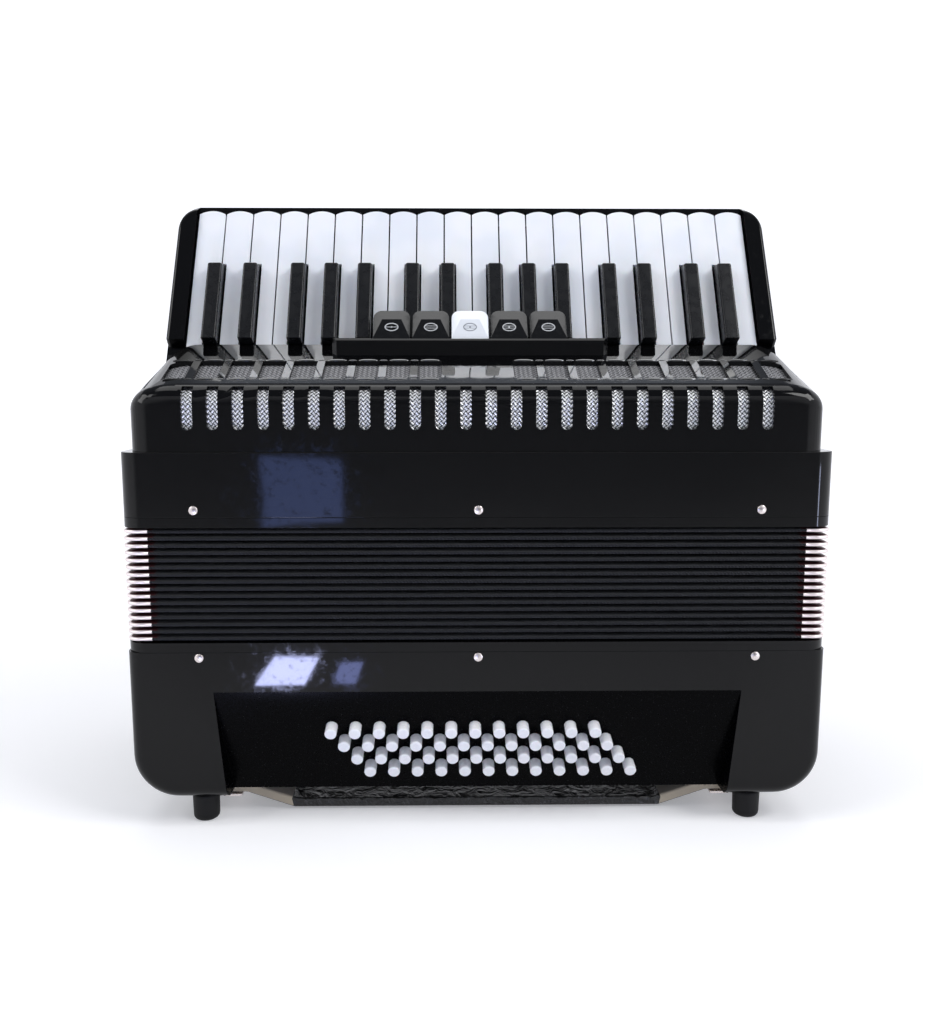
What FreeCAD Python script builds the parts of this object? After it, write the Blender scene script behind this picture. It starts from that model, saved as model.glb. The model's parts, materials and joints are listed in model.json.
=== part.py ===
"""Piano accordion, 34 keys and 48 basses, standing closed on the feet of its bass side.

X runs along the keyboard (low notes at +X), Y runs from the grille to the player,
Z runs up from the floor.  The origin lies on the floor, at the middle of the overall
length and of the overall depth from the bass buttons to the strap lugs.
"""
import math
import os
import re

import FreeCAD
import Part
import Sketcher
from FreeCAD import Rotation, Vector

os.makedirs("parts", exist_ok=True)
doc = FreeCAD.newDocument("PianoAccordion")

# ---------------------------------------------------------------- driving sizes (mm)
SIZES = {
    # the box
    "case_length": 427, "case_depth": 185, "case_corner": 12, "case_wall": 7,
    "edge_round": 2.5, "seat_gap": 0.1,
    # how far a cut runs past the face that it opens
    "cut_over": 1,
    # heights, from the floor upwards
    "foot_height": 18, "bass_height": 94, "frame_height": 6, "treble_height": 39,
    # bellows
    "fold_count": 16, "fold_pitch": 4.4, "fold_depth": 5.5, "fold_corner": 7,
    "bellows_wall": 9, "bellows_inset": 0.5,
    # treble cover
    "cover_shoulder": 9.9, "cover_set": 2, "cover_bend": 36.5, "cover_slope": 24.6,
    "cover_wall": 2.5, "cover_end_wall": 7.5, "cover_bend_round": 14, "cover_end_round": 13,
    "slot_count": 24, "slot_pitch": 14.9, "slot_width": 6.6, "slot_low": 13, "slot_high": 38.5,
    "window_count": 9, "window_pitch": 19.2, "window_width": 14.4, "window_reach": 22.5,
    "window_start": 14.8, "window_margin": 22, "edge_gap": 0.5, "cover_gap": 1.2,
    "mesh_thickness": 0.6, "mesh_gap": 0.3, "mesh_foot": 4, "mesh_lap": 4, "mesh_play": 0.5,
    # keyboard
    "key_count": 34, "white_pitch": 18.5, "white_total": 20, "key_gap": 0.9,
    "white_length": 104.7, "key_tilt": 28, "key_base_back": 64, "key_base_up": 63,
    "key_shift": -2, "axle_below": 8, "axle_in": 10, "axle_inset": 2, "axle_radius": 1.5,
    "axle_play": 0.08,
    "cap_thickness": 2.6, "cap_lip": 9, "key_under": 6, "key_tail": 6, "wood_inset": 0.9,
    "tip_round": 16, "tip_slope": 30, "black_length": 61.6, "black_width": 9.4, "black_rise": 9,
    "black_slope": 4, "black_bevel": 0.9, "black_start": 1.6, "black_well": 0.8,
    "pair_spread": 2.4, "trio_spread": 3.5, "key_travel": 3,
    "arm_width": 4, "arm_depth": 6, "arm_up": 27, "pallet_width": 9.2, "pallet_length": 32,
    "pallet_height": 4, "pallet_back": 29, "pallet_gap": 0.2, "port_width": 6, "port_lap": 4,
    "port_start": 7.77,
    "cheek_width": 12, "cheek_rise": 3, "cheek_gap": 0.6, "bed_spare": 1.1, "bed_foot": 22,
    "bed_thickness": 10, "tip_gap": 1.4, "tip_lip": 4.5, "tip_lip_drop": 3.6,
    "frame_round": 12,
    "cheek_toe": 3, "cheek_nose": 7, "cheek_step": 4, "cheek_foot_drop": 16, "bed_wall": 6,
    "bed_foot_wall": 2, "bed_clear": 3, "hollow_top": 36,
    # registers
    "register_shift": -4, "tab_count": 5, "tab_pitch": 24.9, "tab_width": 23.4, "tab_height": 21,
    "tab_thickness": 2.4,
    "tab_bevel": 1.4, "tab_heel": 1.6, "tab_axle_radius": 0.6, "tab_axle_play": 0.06,
    "tab_axle_drop": 4.2, "bar_ahead": 17.2, "bar_length": 174, "bar_height": 11,
    "bar_depth": 6.6,
    "bar_wall": 1.2, "bar_bevel": 1.5, "bar_slot_depth": 8, "bar_end": 4,
    # bass side
    "bass_corner": 28, "bass_edge": 8, "bass_board": 5, "bass_board_up": 62,
    "recess_top": 69, "recess_width": 323, "recess_taper": 15, "recess_tilt": 14.5,
    "panel_thickness": 5, "cavity_width": 340, "plate_thickness": 3, "plate_margin": 5, "plate_lap": 3,
    "plate_gap": 0.15,
    # bass buttons
    "row_count": 4, "row_buttons": 12, "button_pitch": 14.8, "button_radius": 3.7,
    "button_out": 8.5, "button_play": 0.08, "button_root": 4,
    "row_first": 25.3, "row_pitch": 9.45, "row_offset": 7.8,
    "row_middle": 2.6,
    # reeds
    "reed_length": 344, "reed_width": 24, "reed_foot": 34, "reed_flange": 4, "treble_reed_height": 58,
    "bass_reed_height": 52,
    # metal fittings
    "pin_head": 2.7, "pin_shank": 1.1, "pin_length": 11, "pin_rise": 1, "pin_spacing": 169,
    "pin_edge": 4.6, "pin_edge_bass": 3.2, "tongue_height": 9, "tongue_thickness": 3,
    "lug_inset": 24, "lug_spacing": 40, "lug_width": 16, "lug_height": 11, "lug_plate": 1.5,
    "lug_reach": 9, "lug_bore": 3,
    # strap, feet, air button
    "strap_width": 70, "strap_front": 24, "strap_thickness": 6, "strap_clear": 1.6,
    "strap_bend": 5, "strap_slant": 2, "strap_flat": 118, "strap_end": 148, "strap_tab": 16,
    "clamp_thickness": 1.6, "clamp_inset": 3, "clamp_over": 2,
    "foot_radius": 8.5, "foot_taper": 1.2, "foot_x": 172, "foot_inset": 15,
    "air_radius": 8, "air_out": 7, "air_stem": 2.5, "air_x": 112, "air_back": 132,
    "air_play": 0.1, "air_stem_length": 14, "air_head": 3, "air_bevel": 1,
}
sheet = doc.addObject("Spreadsheet::Sheet", "Sizes")
for line, (alias, size) in enumerate(SIZES.items(), start=1):
    sheet.set(f"A{line}", alias)
    sheet.set(f"B{line}", str(size))
    sheet.setAlias(f"B{line}", alias)
doc.recompute()


# ---------------------------------------------------------------- expressions and helpers
X_WAY, Y_WAY, Z_WAY = Vector(1, 0, 0), Vector(0, 1, 0), Vector(0, 0, 1)


def bound(text):
    """The expression with every size name pointing at its cell of the sheet."""
    return re.sub(r"[a-z_]+", lambda m: f"Sizes.{m[0]}" if m[0] in SIZES else m[0], text)


def value(text):
    """What an expression is worth now."""
    found = sheet.evalExpression(bound(text))
    return float(getattr(found, "Value", found))


def bind(item, prop, text):
    item.setExpression(prop, bound(text))


def new_body(label, x="0", y="0", z="0", turn=None):
    """A body at a place measured from the middle of the case; turn is its angle about X."""
    body = doc.addObject("PartDesign::Body", label)
    body.Label = label
    body.AllowCompound = True
    if turn:
        body.Placement.Rotation = Rotation(Vector(1, 0, 0), 1)
        bind(body, "Placement.Rotation.Angle", turn)
    for axis, text in zip("xyz", (x, f"{y} - {LUG_SHIFT}", z)):
        bind(body, f"Placement.Base.{axis}", text)
    return body


def origin_part(body, role):
    return next(item for item in body.Origin.OriginFeatures if item.Role == role)


def new_sketch(body, name, role, out="0"):
    """An empty sketch on an origin plane of the body, moved out along its normal."""
    sketch = body.newObject("Sketcher::SketchObject", f"{body.Name}_{name}")
    sketch.AttachmentSupport = [(origin_part(body, role), "")]
    sketch.MapMode = "FlatFace"
    bind(sketch, "AttachmentOffset.Base.z", out)
    return sketch


def pin_point(sketch, curve, spot, u, v):
    """Holds one point of a curve at (u, v) with two bound distances."""
    for kind, text, axis in (("DistanceX", u, -2), ("DistanceY", v, -1)):
        if text == "0":
            sketch.addConstraint(Sketcher.Constraint("PointOnObject", curve, spot, axis))
        else:
            rule = Sketcher.Constraint(kind, -1, 1, curve, spot, value(text))
            bind(sketch, f"Constraints[{sketch.addConstraint(rule)}]", text)


def polygon(sketch, corners, rounds=None):
    """A closed outline through bound corners; rounds gives some corners an arc's radius."""
    rounds = rounds or {}
    spots = [Vector(value(u), value(v), 0) for u, v in corners]
    count = len(spots)
    ways = [(spots[(i + 1) % count] - spots[i]).normalize() for i in range(count)]
    starts, ends = list(spots), list(spots)
    for i, radius in rounds.items():
        reach = value(radius) * math.tan(ways[i - 1].getAngle(ways[i]) / 2)
        ends[i], starts[i] = spots[i] - ways[i - 1] * reach, spots[i] + ways[i] * reach
    sides = [sketch.addGeometry(Part.LineSegment(starts[i], ends[(i + 1) % count]))
             for i in range(count)]
    for i, (u, v) in enumerate(corners):
        before, after = sides[i - 1], sides[i]
        if i not in rounds:
            sketch.addConstraint(Sketcher.Constraint("Coincident", before, 2, after, 1))
            pin_point(sketch, after, 1, u, v)
            continue
        r, left_turn = value(rounds[i]), ways[i - 1].cross(ways[i]).z > 0
        inward = Vector(-ways[i].y, ways[i].x, 0) * (r if left_turn else -r)
        centre = starts[i] + inward
        first, last = (ends[i], starts[i]) if left_turn else (starts[i], ends[i])
        angles = [math.atan2(spot.y - centre.y, spot.x - centre.x) for spot in (first, last)]
        arc = sketch.addGeometry(Part.ArcOfCircle(Part.Circle(centre, Z_WAY, r), *angles))
        enter, leave = (1, 2) if left_turn else (2, 1)
        sketch.addConstraint(Sketcher.Constraint("Tangent", before, 2, arc, enter))
        sketch.addConstraint(Sketcher.Constraint("Tangent", arc, leave, after, 1))
        rule = Sketcher.Constraint("Radius", arc, r)
        bind(sketch, f"Constraints[{sketch.addConstraint(rule)}]", rounds[i])
        corner = sketch.addGeometry(Part.Point(spots[i]), True)
        pin_point(sketch, corner, 1, u, v)
        for side in (before, after):
            sketch.addConstraint(Sketcher.Constraint("PointOnObject", corner, 1, side))
    return sketch


def rectangle(sketch, left, right, low, high):
    return polygon(sketch, [(left, low), (right, low), (right, high), (left, high)])


def circle(sketch, u, v, radius):
    centre = Vector(value(u), value(v), 0)
    curve = sketch.addGeometry(Part.Circle(centre, Vector(0, 0, 1), value(radius)))
    rule = Sketcher.Constraint("Radius", curve, value(radius))
    bind(sketch, f"Constraints[{sketch.addConstraint(rule)}]", radius)
    pin_point(sketch, curve, 3, u, v)
    return sketch


def slot_outline(sketch, u, low, high, radius):
    """An upright slot from the centre of its round foot to its straight top."""
    r = value(radius)
    base, top = Vector(value(u), value(low), 0), Vector(value(u), value(high), 0)
    side = Vector(r, 0, 0)
    foot = sketch.addGeometry(Part.ArcOfCircle(Part.Circle(base, Z_WAY, r), math.pi, math.tau))
    right = sketch.addGeometry(Part.LineSegment(base + side, top + side))
    lid = sketch.addGeometry(Part.LineSegment(top + side, top - side))
    left = sketch.addGeometry(Part.LineSegment(top - side, base - side))
    sketch.addConstraint(Sketcher.Constraint("Tangent", foot, 2, right, 1))
    sketch.addConstraint(Sketcher.Constraint("Tangent", left, 2, foot, 1))
    sketch.addConstraint(Sketcher.Constraint("Coincident", right, 2, lid, 1))
    sketch.addConstraint(Sketcher.Constraint("Coincident", lid, 2, left, 1))
    pin_point(sketch, foot, 3, u, low)
    pin_point(sketch, lid, 1, f"{u} + {radius}", high)
    pin_point(sketch, left, 1, f"{u} - {radius}", high)
    return sketch


def ring_of_sides(sketch, u, v, reach, sides=12):
    """A many-sided hole whose flats lie at reach from its centre."""
    spread = 360 / sides
    corner = f"({reach})/cos({spread / 2})"
    polygon(sketch, [(f"{u} + {corner}*cos({spread * (i + 0.5)})",
                      f"{v} + {corner}*sin({spread * (i + 0.5)})") for i in range(sides)])


def sweep_feature(kind, body, sketch, name, length, middle=False, back=False, taper=None):
    feature = body.newObject(f"PartDesign::{kind}", f"{body.Name}_{name}")
    feature.Profile = sketch
    bind(feature, "Length", length)
    feature.Midplane = middle
    feature.Reversed = back
    if taper:
        bind(feature, "TaperAngle", taper)
    return feature


def pad(body, sketch, name, length, **options):
    return sweep_feature("Pad", body, sketch, name, length, **options)


def pocket(body, sketch, name, length, **options):
    return sweep_feature("Pocket", body, sketch, name, length, **options)


def revolve(body, sketch, name):
    feature = body.newObject("PartDesign::Revolution", f"{body.Name}_{name}")
    feature.Profile = sketch
    feature.ReferenceAxis = (sketch, ["V_Axis"])
    feature.Angle = 360
    return feature


def repeat(body, feature, name, pitch, count, back=False):
    """Copies a feature, or several, along X, or along -X when back is set."""
    pattern = body.newObject("PartDesign::LinearPattern", f"{body.Name}_{name}")
    pattern.Originals = feature if isinstance(feature, list) else [feature]
    pattern.Direction = (origin_part(body, "X_Axis"), [""])
    pattern.Mode = "Spacing"
    pattern.Reversed = back
    bind(pattern, "Offset", pitch)
    bind(pattern, "Occurrences", count)
    body.Tip = pattern
    return pattern


def dress(kind, prop, body, name, size, chosen):
    """Fillet or chamfer on the edges of the last feature that the test picks."""
    doc.recompute()
    base = body.Tip
    names = [f"Edge{i}" for i, edge in enumerate(base.Shape.Edges, start=1) if chosen(edge)]
    feature = body.newObject(f"PartDesign::{kind}", f"{body.Name}_{name}")
    feature.Base = (base, names)
    bind(feature, prop, size)
    return feature


def fillet(body, name, size, chosen):
    return dress("Fillet", "Radius", body, name, size, chosen)


def chamfer(body, name, size, chosen):
    return dress("Chamfer", "Size", body, name, size, chosen)


def along(edge, axis):
    """True for a straight edge that runs along the axis."""
    if edge.Curve.TypeId != "Part::GeomLine":
        return False
    return abs(edge.tangentAt(edge.FirstParameter).dot(axis)) > 0.999


def near(a, b):
    return abs(a - b) < 0.05


# ---------------------------------------------------------------- shared places
HALF_LENGTH = "case_length/2"
FRONT = "(-case_depth/2)"
REAR = "(case_depth/2)"
BASS_TOP = "(foot_height + bass_height)"
BELLOWS_LOW = f"({BASS_TOP} + frame_height)"
BELLOWS_HEIGHT = "(fold_count*fold_pitch)"
BELLOWS_TOP = f"({BELLOWS_LOW} + {BELLOWS_HEIGHT})"
TREBLE_LOW = f"({BELLOWS_TOP} + frame_height)"
TREBLE_TOP = f"({TREBLE_LOW} + treble_height)"
# the lugs reach further behind the case than the bass buttons reach in front of it
BUTTONS_PROUD = ("(button_out*cos(recess_tilt) + button_radius*sin(recess_tilt)"
                 " - row_first*sin(recess_tilt))")
LUG_SHIFT = f"((lug_plate + lug_reach - {BUTTONS_PROUD})/2)"
KEYS_WIDTH = "(white_total*white_pitch)"
KEY_TURN = "(90 - key_tilt)"
COVER_FRONT = f"({FRONT} + cover_set)"
COVER_REAR = f"({FRONT} + key_base_back - cover_gap)"
FRAME_WIDTH = f"({KEYS_WIDTH} + 2*cheek_gap + 2*cheek_width)"
COVER_LENGTH = f"({FRAME_WIDTH} + 2*cover_shoulder)"
COVER_INSIDE = f"({COVER_LENGTH} - 2*cover_end_wall)"
# the key surface meets the cover line at (BASE_Y, BASE_Z)
BASE_Y = f"({FRONT} + key_base_back)"
BASE_Z = f"({TREBLE_TOP} + key_base_up)"
AXLE_Y = f"({BASE_Y} - axle_in*sin(key_tilt) + axle_below*cos(key_tilt))"
AXLE_Z = f"({BASE_Z} - axle_in*cos(key_tilt) - axle_below*sin(key_tilt))"


def cover_top(y, drop="0"):
    """Height of the cover's sloping top at depth y, less a thickness."""
    rise = f"(({y}) - {COVER_FRONT})*tan(cover_slope)"
    return f"({TREBLE_TOP} + cover_bend + {rise} - ({drop})/cos(cover_slope))"


def key_plane(way, out):
    """World Y and Z of the point way up the keys from the axle and out from it."""
    y = f"({AXLE_Y} + ({way})*sin(key_tilt) - ({out})*cos(key_tilt))"
    z = f"({AXLE_Z} + ({way})*cos(key_tilt) + ({out})*sin(key_tilt))"
    return y, z


def in_key_frame(y, z):
    """The same world point seen from the axle, along and out of the keys."""
    dy, dz = f"(({y}) - {AXLE_Y})", f"(({z}) - {AXLE_Z})"
    return (f"({dy}*sin(key_tilt) + {dz}*cos(key_tilt))",
            f"({dz}*sin(key_tilt) - {dy}*cos(key_tilt))")


WINDOW_FRONT = f"({COVER_FRONT} + window_start)"


# ---------------------------------------------------------------- boxes
def rounded_box(body, name, length, depth, height, corner):
    """A block on the body's floor with rounded upright corners."""
    base = new_sketch(body, f"{name}_outline", "XY_Plane")
    rectangle(base, f"-({length})/2", f"({length})/2", f"-({depth})/2", f"({depth})/2")
    block = pad(body, base, name, height)
    fillet(body, f"{name}_corners", corner, lambda edge: along(edge, Z_WAY))
    return block


def well(body, name, length, depth, cut, out="0", back=True):
    """A rectangular pocket; back is upwards from its sketch."""
    base = new_sketch(body, f"{name}_outline", "XY_Plane", out)
    rectangle(base, f"-({length})/2", f"({length})/2", f"-({depth})/2", f"({depth})/2")
    return pocket(body, base, name, cut, back=back)


def treble_case():
    """Wooden box under the keys: its top board carries the pallet ports."""
    body = new_body("treble_case", z=TREBLE_LOW)
    rounded_box(body, "box", "case_length", "case_depth", "treble_height", "case_corner")
    well(body, "chamber", "case_length - 2*case_wall", "case_depth - 2*case_wall",
         "treble_height - case_wall")
    port = new_sketch(body, "port_outline", "XY_Plane", "treble_height")
    low_end = f"({KEYS_WIDTH}/2 + key_shift)"
    middle = f"({low_end} - port_start)"
    centre = f"({FRONT} + pallet_back)"
    half = "(pallet_length/2 - port_lap)"
    rectangle(port, f"{middle} - port_width/2", f"{middle} + port_width/2",
              f"{centre} - {half}", f"{centre} + {half}")
    cut = pocket(body, port, "port", "case_wall + cut_over")
    repeat(body, cut, "ports", "white_pitch*7/12", "key_count", back=True)
    return body


def treble_cover():
    """Moulded shell over the pallets: upright slots in front, windows on its sloping top."""
    body = new_body("treble_cover")
    profile = new_sketch(body, "profile", "YZ_Plane")
    polygon(profile, [(COVER_FRONT, TREBLE_TOP), (COVER_REAR, TREBLE_TOP),
                      (COVER_REAR, cover_top(COVER_REAR)), (COVER_FRONT, cover_top(COVER_FRONT))],
            rounds={3: "cover_bend_round"})
    pad(body, profile, "block", COVER_LENGTH, middle=True)
    half, floor, rear = value(f"{COVER_LENGTH}/2"), value(TREBLE_TOP), value(COVER_REAR)

    def end_contour(edge):
        box = edge.BoundBox
        on_end = near(abs(box.XMin), half) and near(box.XMin, box.XMax)
        over = SIZES["cut_over"]
        return on_end and box.ZMax > floor + over and box.YMin < rear - over
    fillet(body, "ends", "cover_end_round", end_contour)
    inner_front = f"({COVER_FRONT} + cover_wall)"
    below, behind = f"({TREBLE_TOP} - cut_over)", f"({COVER_REAR} + cut_over)"
    inside = new_sketch(body, "inside", "YZ_Plane")
    polygon(inside, [(inner_front, below), (behind, below),
                     (behind, cover_top(behind, "cover_wall")),
                     (inner_front, cover_top(inner_front, "cover_wall"))],
            rounds={3: "cover_bend_round - cover_wall"})
    pocket(body, inside, "hollow", COVER_INSIDE, middle=True)
    # the rear edge of the top is cut parallel to the keys behind it
    relief = new_sketch(body, "key_relief", "YZ_Plane")
    before, clear = "(-axle_in)", "(axle_below + edge_gap)"
    polygon(relief, [key_plane(before, clear), key_plane(before, "0"),
                     key_plane("2*axle_in", "0"), key_plane("2*axle_in", clear)])
    pocket(body, relief, "key_relief", COVER_INSIDE, middle=True)
    slot = new_sketch(body, "slot_outline", "XZ_Plane", f"-{COVER_FRONT} + cut_over")
    slot_outline(slot, "-(slot_count - 1)*slot_pitch/2", f"{TREBLE_TOP} + slot_low + slot_width/2",
                 f"{TREBLE_TOP} + slot_high", "slot_width/2")
    cut = pocket(body, slot, "slot", "cover_bend_round/2 + cover_wall")
    repeat(body, cut, "slots", "slot_pitch", "slot_count")
    highest = cover_top(COVER_REAR)
    for side, way in (("left", "-"), ("right", "")):
        window = new_sketch(body, f"window_{side}_outline", "XY_Plane", f"{highest} + cut_over")
        middle = f"{way}(window_margin + window_width/2)"
        rectangle(window, f"{middle} - window_width/2", f"{middle} + window_width/2",
                  WINDOW_FRONT, f"{WINDOW_FRONT} + window_reach")
        hole = pocket(body, window, f"window_{side}",
                      f"{highest} - {cover_top(WINDOW_FRONT)} + 2*cover_wall")
        repeat(body, hole, f"windows_{side}", "window_pitch", "window_count", back=side == "left")
    return body


def grille_mesh():
    """Woven metal lining that hangs behind the slots and windows."""
    body = new_body("grille_mesh")
    near_y = f"({COVER_FRONT} + cover_wall + mesh_gap)"
    far_y = f"({near_y} + mesh_thickness)"
    drop, deep = "(cover_wall + mesh_gap)", "(cover_wall + mesh_gap + mesh_thickness)"
    low, end = f"({TREBLE_TOP} + mesh_foot)", f"({WINDOW_FRONT} + window_reach + mesh_lap)"
    profile = new_sketch(body, "profile", "YZ_Plane")
    polygon(profile, [(near_y, low), (far_y, low), (far_y, cover_top(far_y, deep)),
                      (end, cover_top(end, deep)), (end, cover_top(end, drop)),
                      (near_y, cover_top(near_y, drop))],
            rounds={2: f"cover_bend_round - {deep}", 5: f"cover_bend_round - {drop}"})
    pad(body, profile, "sheet", f"{COVER_INSIDE} - 2*mesh_play", middle=True)
    return body


# ---------------------------------------------------------------- keyboard
KEY_REACH = "(axle_in + white_length)"
KEY_SWING = f"({KEY_REACH}*tan(key_travel) + bed_spare)"
BED_FACE = f"(-key_under - {KEY_SWING})"
# a white tip is one arc between two short slopes, whose lines cross at the apex
TIP_APEX = f"({KEY_REACH} + tip_round*(1/cos(tip_slope) - 1))"
TIP_EDGE = f"({TIP_APEX} - (white_pitch - key_gap)/2*tan(tip_slope))"


def keyboard_frame():
    """Key bed with its two cheeks and the lip behind the key tips."""
    body = new_body("keyboard_frame", x="key_shift")
    cheek_out = "(axle_below + cheek_rise)"
    tip = f"({KEY_REACH} + tip_gap + tip_lip)"
    foot_y = f"({REAR} - edge_round)"
    toe = f"({COVER_REAR} - cheek_toe)"
    profile = new_sketch(body, "cheek_profile", "YZ_Plane")
    polygon(profile, [(toe, TREBLE_TOP), (foot_y, TREBLE_TOP),
                      (foot_y, f"{TREBLE_TOP} + bed_foot"),
                      key_plane(tip, f"{BED_FACE} - bed_thickness"),
                      key_plane(tip, f"{cheek_out} - cheek_nose"),
                      key_plane(f"{tip} - cheek_nose", cheek_out),
                      key_plane("axle_in + cheek_step", cheek_out),
                      key_plane("axle_in + cheek_step/4", "axle_below - cheek_step"),
                      (toe, f"{BASE_Z} - cheek_foot_drop")])
    pad(body, profile, "block", FRAME_WIDTH, middle=True)
    half = value(f"{FRAME_WIDTH}/2")
    high = value(key_plane(tip, f"{cheek_out} - cheek_nose")[1])

    def tip_corner(edge):
        box = edge.BoundBox
        on_side = near(box.XMin, box.XMax) and near(abs(box.XMin), half)
        return on_side and near(box.ZMax, high) and box.YLength > box.ZLength
    fillet(body, "tip_corners", "frame_round", tip_corner)
    wall_y = f"({AXLE_Y} - {BED_FACE} + bed_clear)"
    wall_top = f"(({wall_y} - {AXLE_Y}) + {BED_FACE}*cos(key_tilt))/sin(key_tilt)"
    keys = new_sketch(body, "well_profile", "YZ_Plane")
    below, ahead = f"({TREBLE_TOP} - cut_over)", f"({toe} - cheek_nose)"
    lip, past, above = "axle_below - tip_lip_drop", f"{tip} + cut_over", f"{cheek_out} + cut_over"
    polygon(keys, [(ahead, below), (wall_y, below),
                   key_plane(wall_top, BED_FACE), key_plane(f"{KEY_REACH} + tip_gap", BED_FACE),
                   key_plane(f"{KEY_REACH} + tip_gap", lip), key_plane(past, lip),
                   key_plane(past, above), key_plane("0", above), (ahead, f"{BASE_Z}")])
    pocket(body, keys, "well", f"{KEYS_WIDTH} + 2*cheek_gap", middle=True)
    # the back of the bed is a hollow wedge, open onto the case
    hollow = new_sketch(body, "hollow_profile", "YZ_Plane")
    bed_back = f"{BED_FACE} - bed_wall"
    polygon(hollow, [(f"{wall_y} + bed_wall", below), (f"{foot_y} - bed_wall", below),
                     (f"{foot_y} - bed_wall", f"{TREBLE_TOP} + bed_foot - bed_foot_wall"),
                     key_plane("axle_in + black_length", bed_back),
                     key_plane("axle_in + bed_thickness", bed_back),
                     (f"{wall_y} + bed_wall", f"{TREBLE_TOP} + hollow_top")])
    pocket(body, hollow, "hollow", f"{KEYS_WIDTH}", middle=True)
    bore = new_sketch(body, "axle_bore_outline", "YZ_Plane")
    circle(bore, AXLE_Y, AXLE_Z, "axle_radius + axle_play")
    pocket(body, bore, "axle_bore", f"{FRAME_WIDTH} + 2*cut_over", middle=True)

    def outer_rim(edge):
        box = edge.BoundBox
        flat = near(box.XMin, box.XMax) and near(abs(box.XMin), half)
        straight = edge.Curve.TypeId == "Part::GeomLine"
        return flat and straight and box.ZMin > value(f"{BASE_Z} - bed_wall")
    fillet(body, "rim", "edge_round", outer_rim)
    return body


def key_body(label, middle):
    """A body whose origin lies on the key axle, its Y up the key, its Z out of the key."""
    return new_body(label, x=f"key_shift + {middle}", y=AXLE_Y, z=AXLE_Z, turn=KEY_TURN)


def key_action(body):
    """The lever under the cover, its pallet on the board, and the notch that rides the axle."""
    centre = f"({FRONT} + pallet_back)"
    low = f"({TREBLE_TOP} + pallet_gap)"
    top = f"({low} + pallet_height)"
    elbow = f"({TREBLE_TOP} + arm_up)"
    lever = new_sketch(body, "lever_profile", "YZ_Plane")
    polygon(lever, [in_key_frame(f"{centre} - arm_depth/2", f"{low} + pallet_height/4"),
                    in_key_frame(f"{centre} + arm_depth/2", f"{low} + pallet_height/4"),
                    in_key_frame(f"{centre} + arm_depth/2", f"{elbow} - arm_depth/2"),
                    ("arm_width - key_tail", "-key_under"), ("-key_tail", "axle_below - cap_thickness"),
                    in_key_frame(f"{centre} - arm_depth/2", f"{elbow} + arm_depth/2")])
    pad(body, lever, "lever", "arm_width", middle=True)
    block = new_sketch(body, "pallet_profile", "YZ_Plane")
    polygon(block, [in_key_frame(f"{centre} - pallet_length/2", low),
                    in_key_frame(f"{centre} + pallet_length/2", low),
                    in_key_frame(f"{centre} + pallet_length/2", top),
                    in_key_frame(f"{centre} - pallet_length/2", top)])
    pad(body, block, "pallet", "pallet_width", middle=True)
    notch = new_sketch(body, "notch_outline", "YZ_Plane")
    seat = "(axle_radius + axle_play)"
    rectangle(notch, f"-{seat}", seat, "-key_under - axle_below", seat)
    pocket(body, notch, "notch", "2*white_pitch", middle=True)


def white_key(label, tail_middle, left, right, cut_left, cut_right):
    """left and right are the head's edges and cut_* the tail's, all from the tail's middle."""
    body = key_body(label, tail_middle)
    tail = "-key_tail"
    under_cap = "(axle_below - cap_thickness)"
    cap = new_sketch(body, "cap_outline", "XY_Plane", under_cap)
    shoulder = "(axle_in + black_length + black_well)"
    corners = [(cut_left, tail), (cut_right, tail)]
    if cut_right != right:
        corners += [(cut_right, shoulder), (right, shoulder)]
    tip_middle = f"({left} + {right})/2"
    corners += [(right, TIP_EDGE), (tip_middle, TIP_APEX), (left, TIP_EDGE)]
    apex = corners.index((tip_middle, TIP_APEX))
    if cut_left != left:
        corners += [(left, shoulder), (cut_left, shoulder)]
    polygon(cap, corners, rounds={apex: "tip_round"})
    pad(body, cap, "cap", "cap_thickness")
    # the front lip follows the round of the tip
    lip = new_sketch(body, "lip_outline", "XY_Plane", "axle_below - cap_lip")
    deep = "cap_thickness/cos(tip_slope)"
    polygon(lip, [(right, f"{TIP_EDGE} - {deep}"), (right, TIP_EDGE), (tip_middle, TIP_APEX),
                  (left, TIP_EDGE), (left, f"{TIP_EDGE} - {deep}"),
                  (tip_middle, f"{TIP_APEX} - {deep}")],
            rounds={2: "tip_round", 5: "tip_round - cap_thickness"})
    pad(body, lip, "lip", "cap_lip")
    wood = new_sketch(body, "wood_outline", "XY_Plane", "-key_under")
    slim = [(f"{u} + wood_inset" if u in (left, cut_left) else f"{u} - wood_inset", v)
            for u, v in corners]
    slim = [(u, f"{TIP_EDGE} - wood_inset" if v == TIP_EDGE else v) for u, v in slim if v != TIP_APEX]
    slim = [(u, f"{v} + wood_inset" if v == shoulder else v) for u, v in slim]
    polygon(wood, slim)
    pad(body, wood, "wood", "key_under + axle_below - cap_thickness/2")
    key_action(body)
    return body


def black_key(label, middle):
    """A raised key with a sloping front and bevelled long edges, on the same kind of lever."""
    body = key_body(label, middle)
    front = "(axle_in + black_length)"
    crest = "(axle_below + black_rise)"
    cap = new_sketch(body, "cap_profile", "YZ_Plane")
    polygon(cap, [("-key_tail", "-key_under"), (front, "-key_under"), (front, "axle_below"),
                  (f"{front} - black_slope", crest), ("axle_in + black_start", crest),
                  ("axle_in + black_start", "axle_below"), ("-key_tail", "axle_below")])
    pad(body, cap, "cap", "black_width", middle=True)
    top, base = value(crest), value("axle_in + black_start")
    chamfer(body, "bevel", "black_bevel", lambda edge: edge.BoundBox.ZMax > top - 0.05
            and edge.BoundBox.ZMin > value("axle_below") - 0.05
            and edge.BoundBox.YMin > base - 0.05 and edge.BoundBox.YLength > 1)
    key_action(body)
    return body


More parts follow.
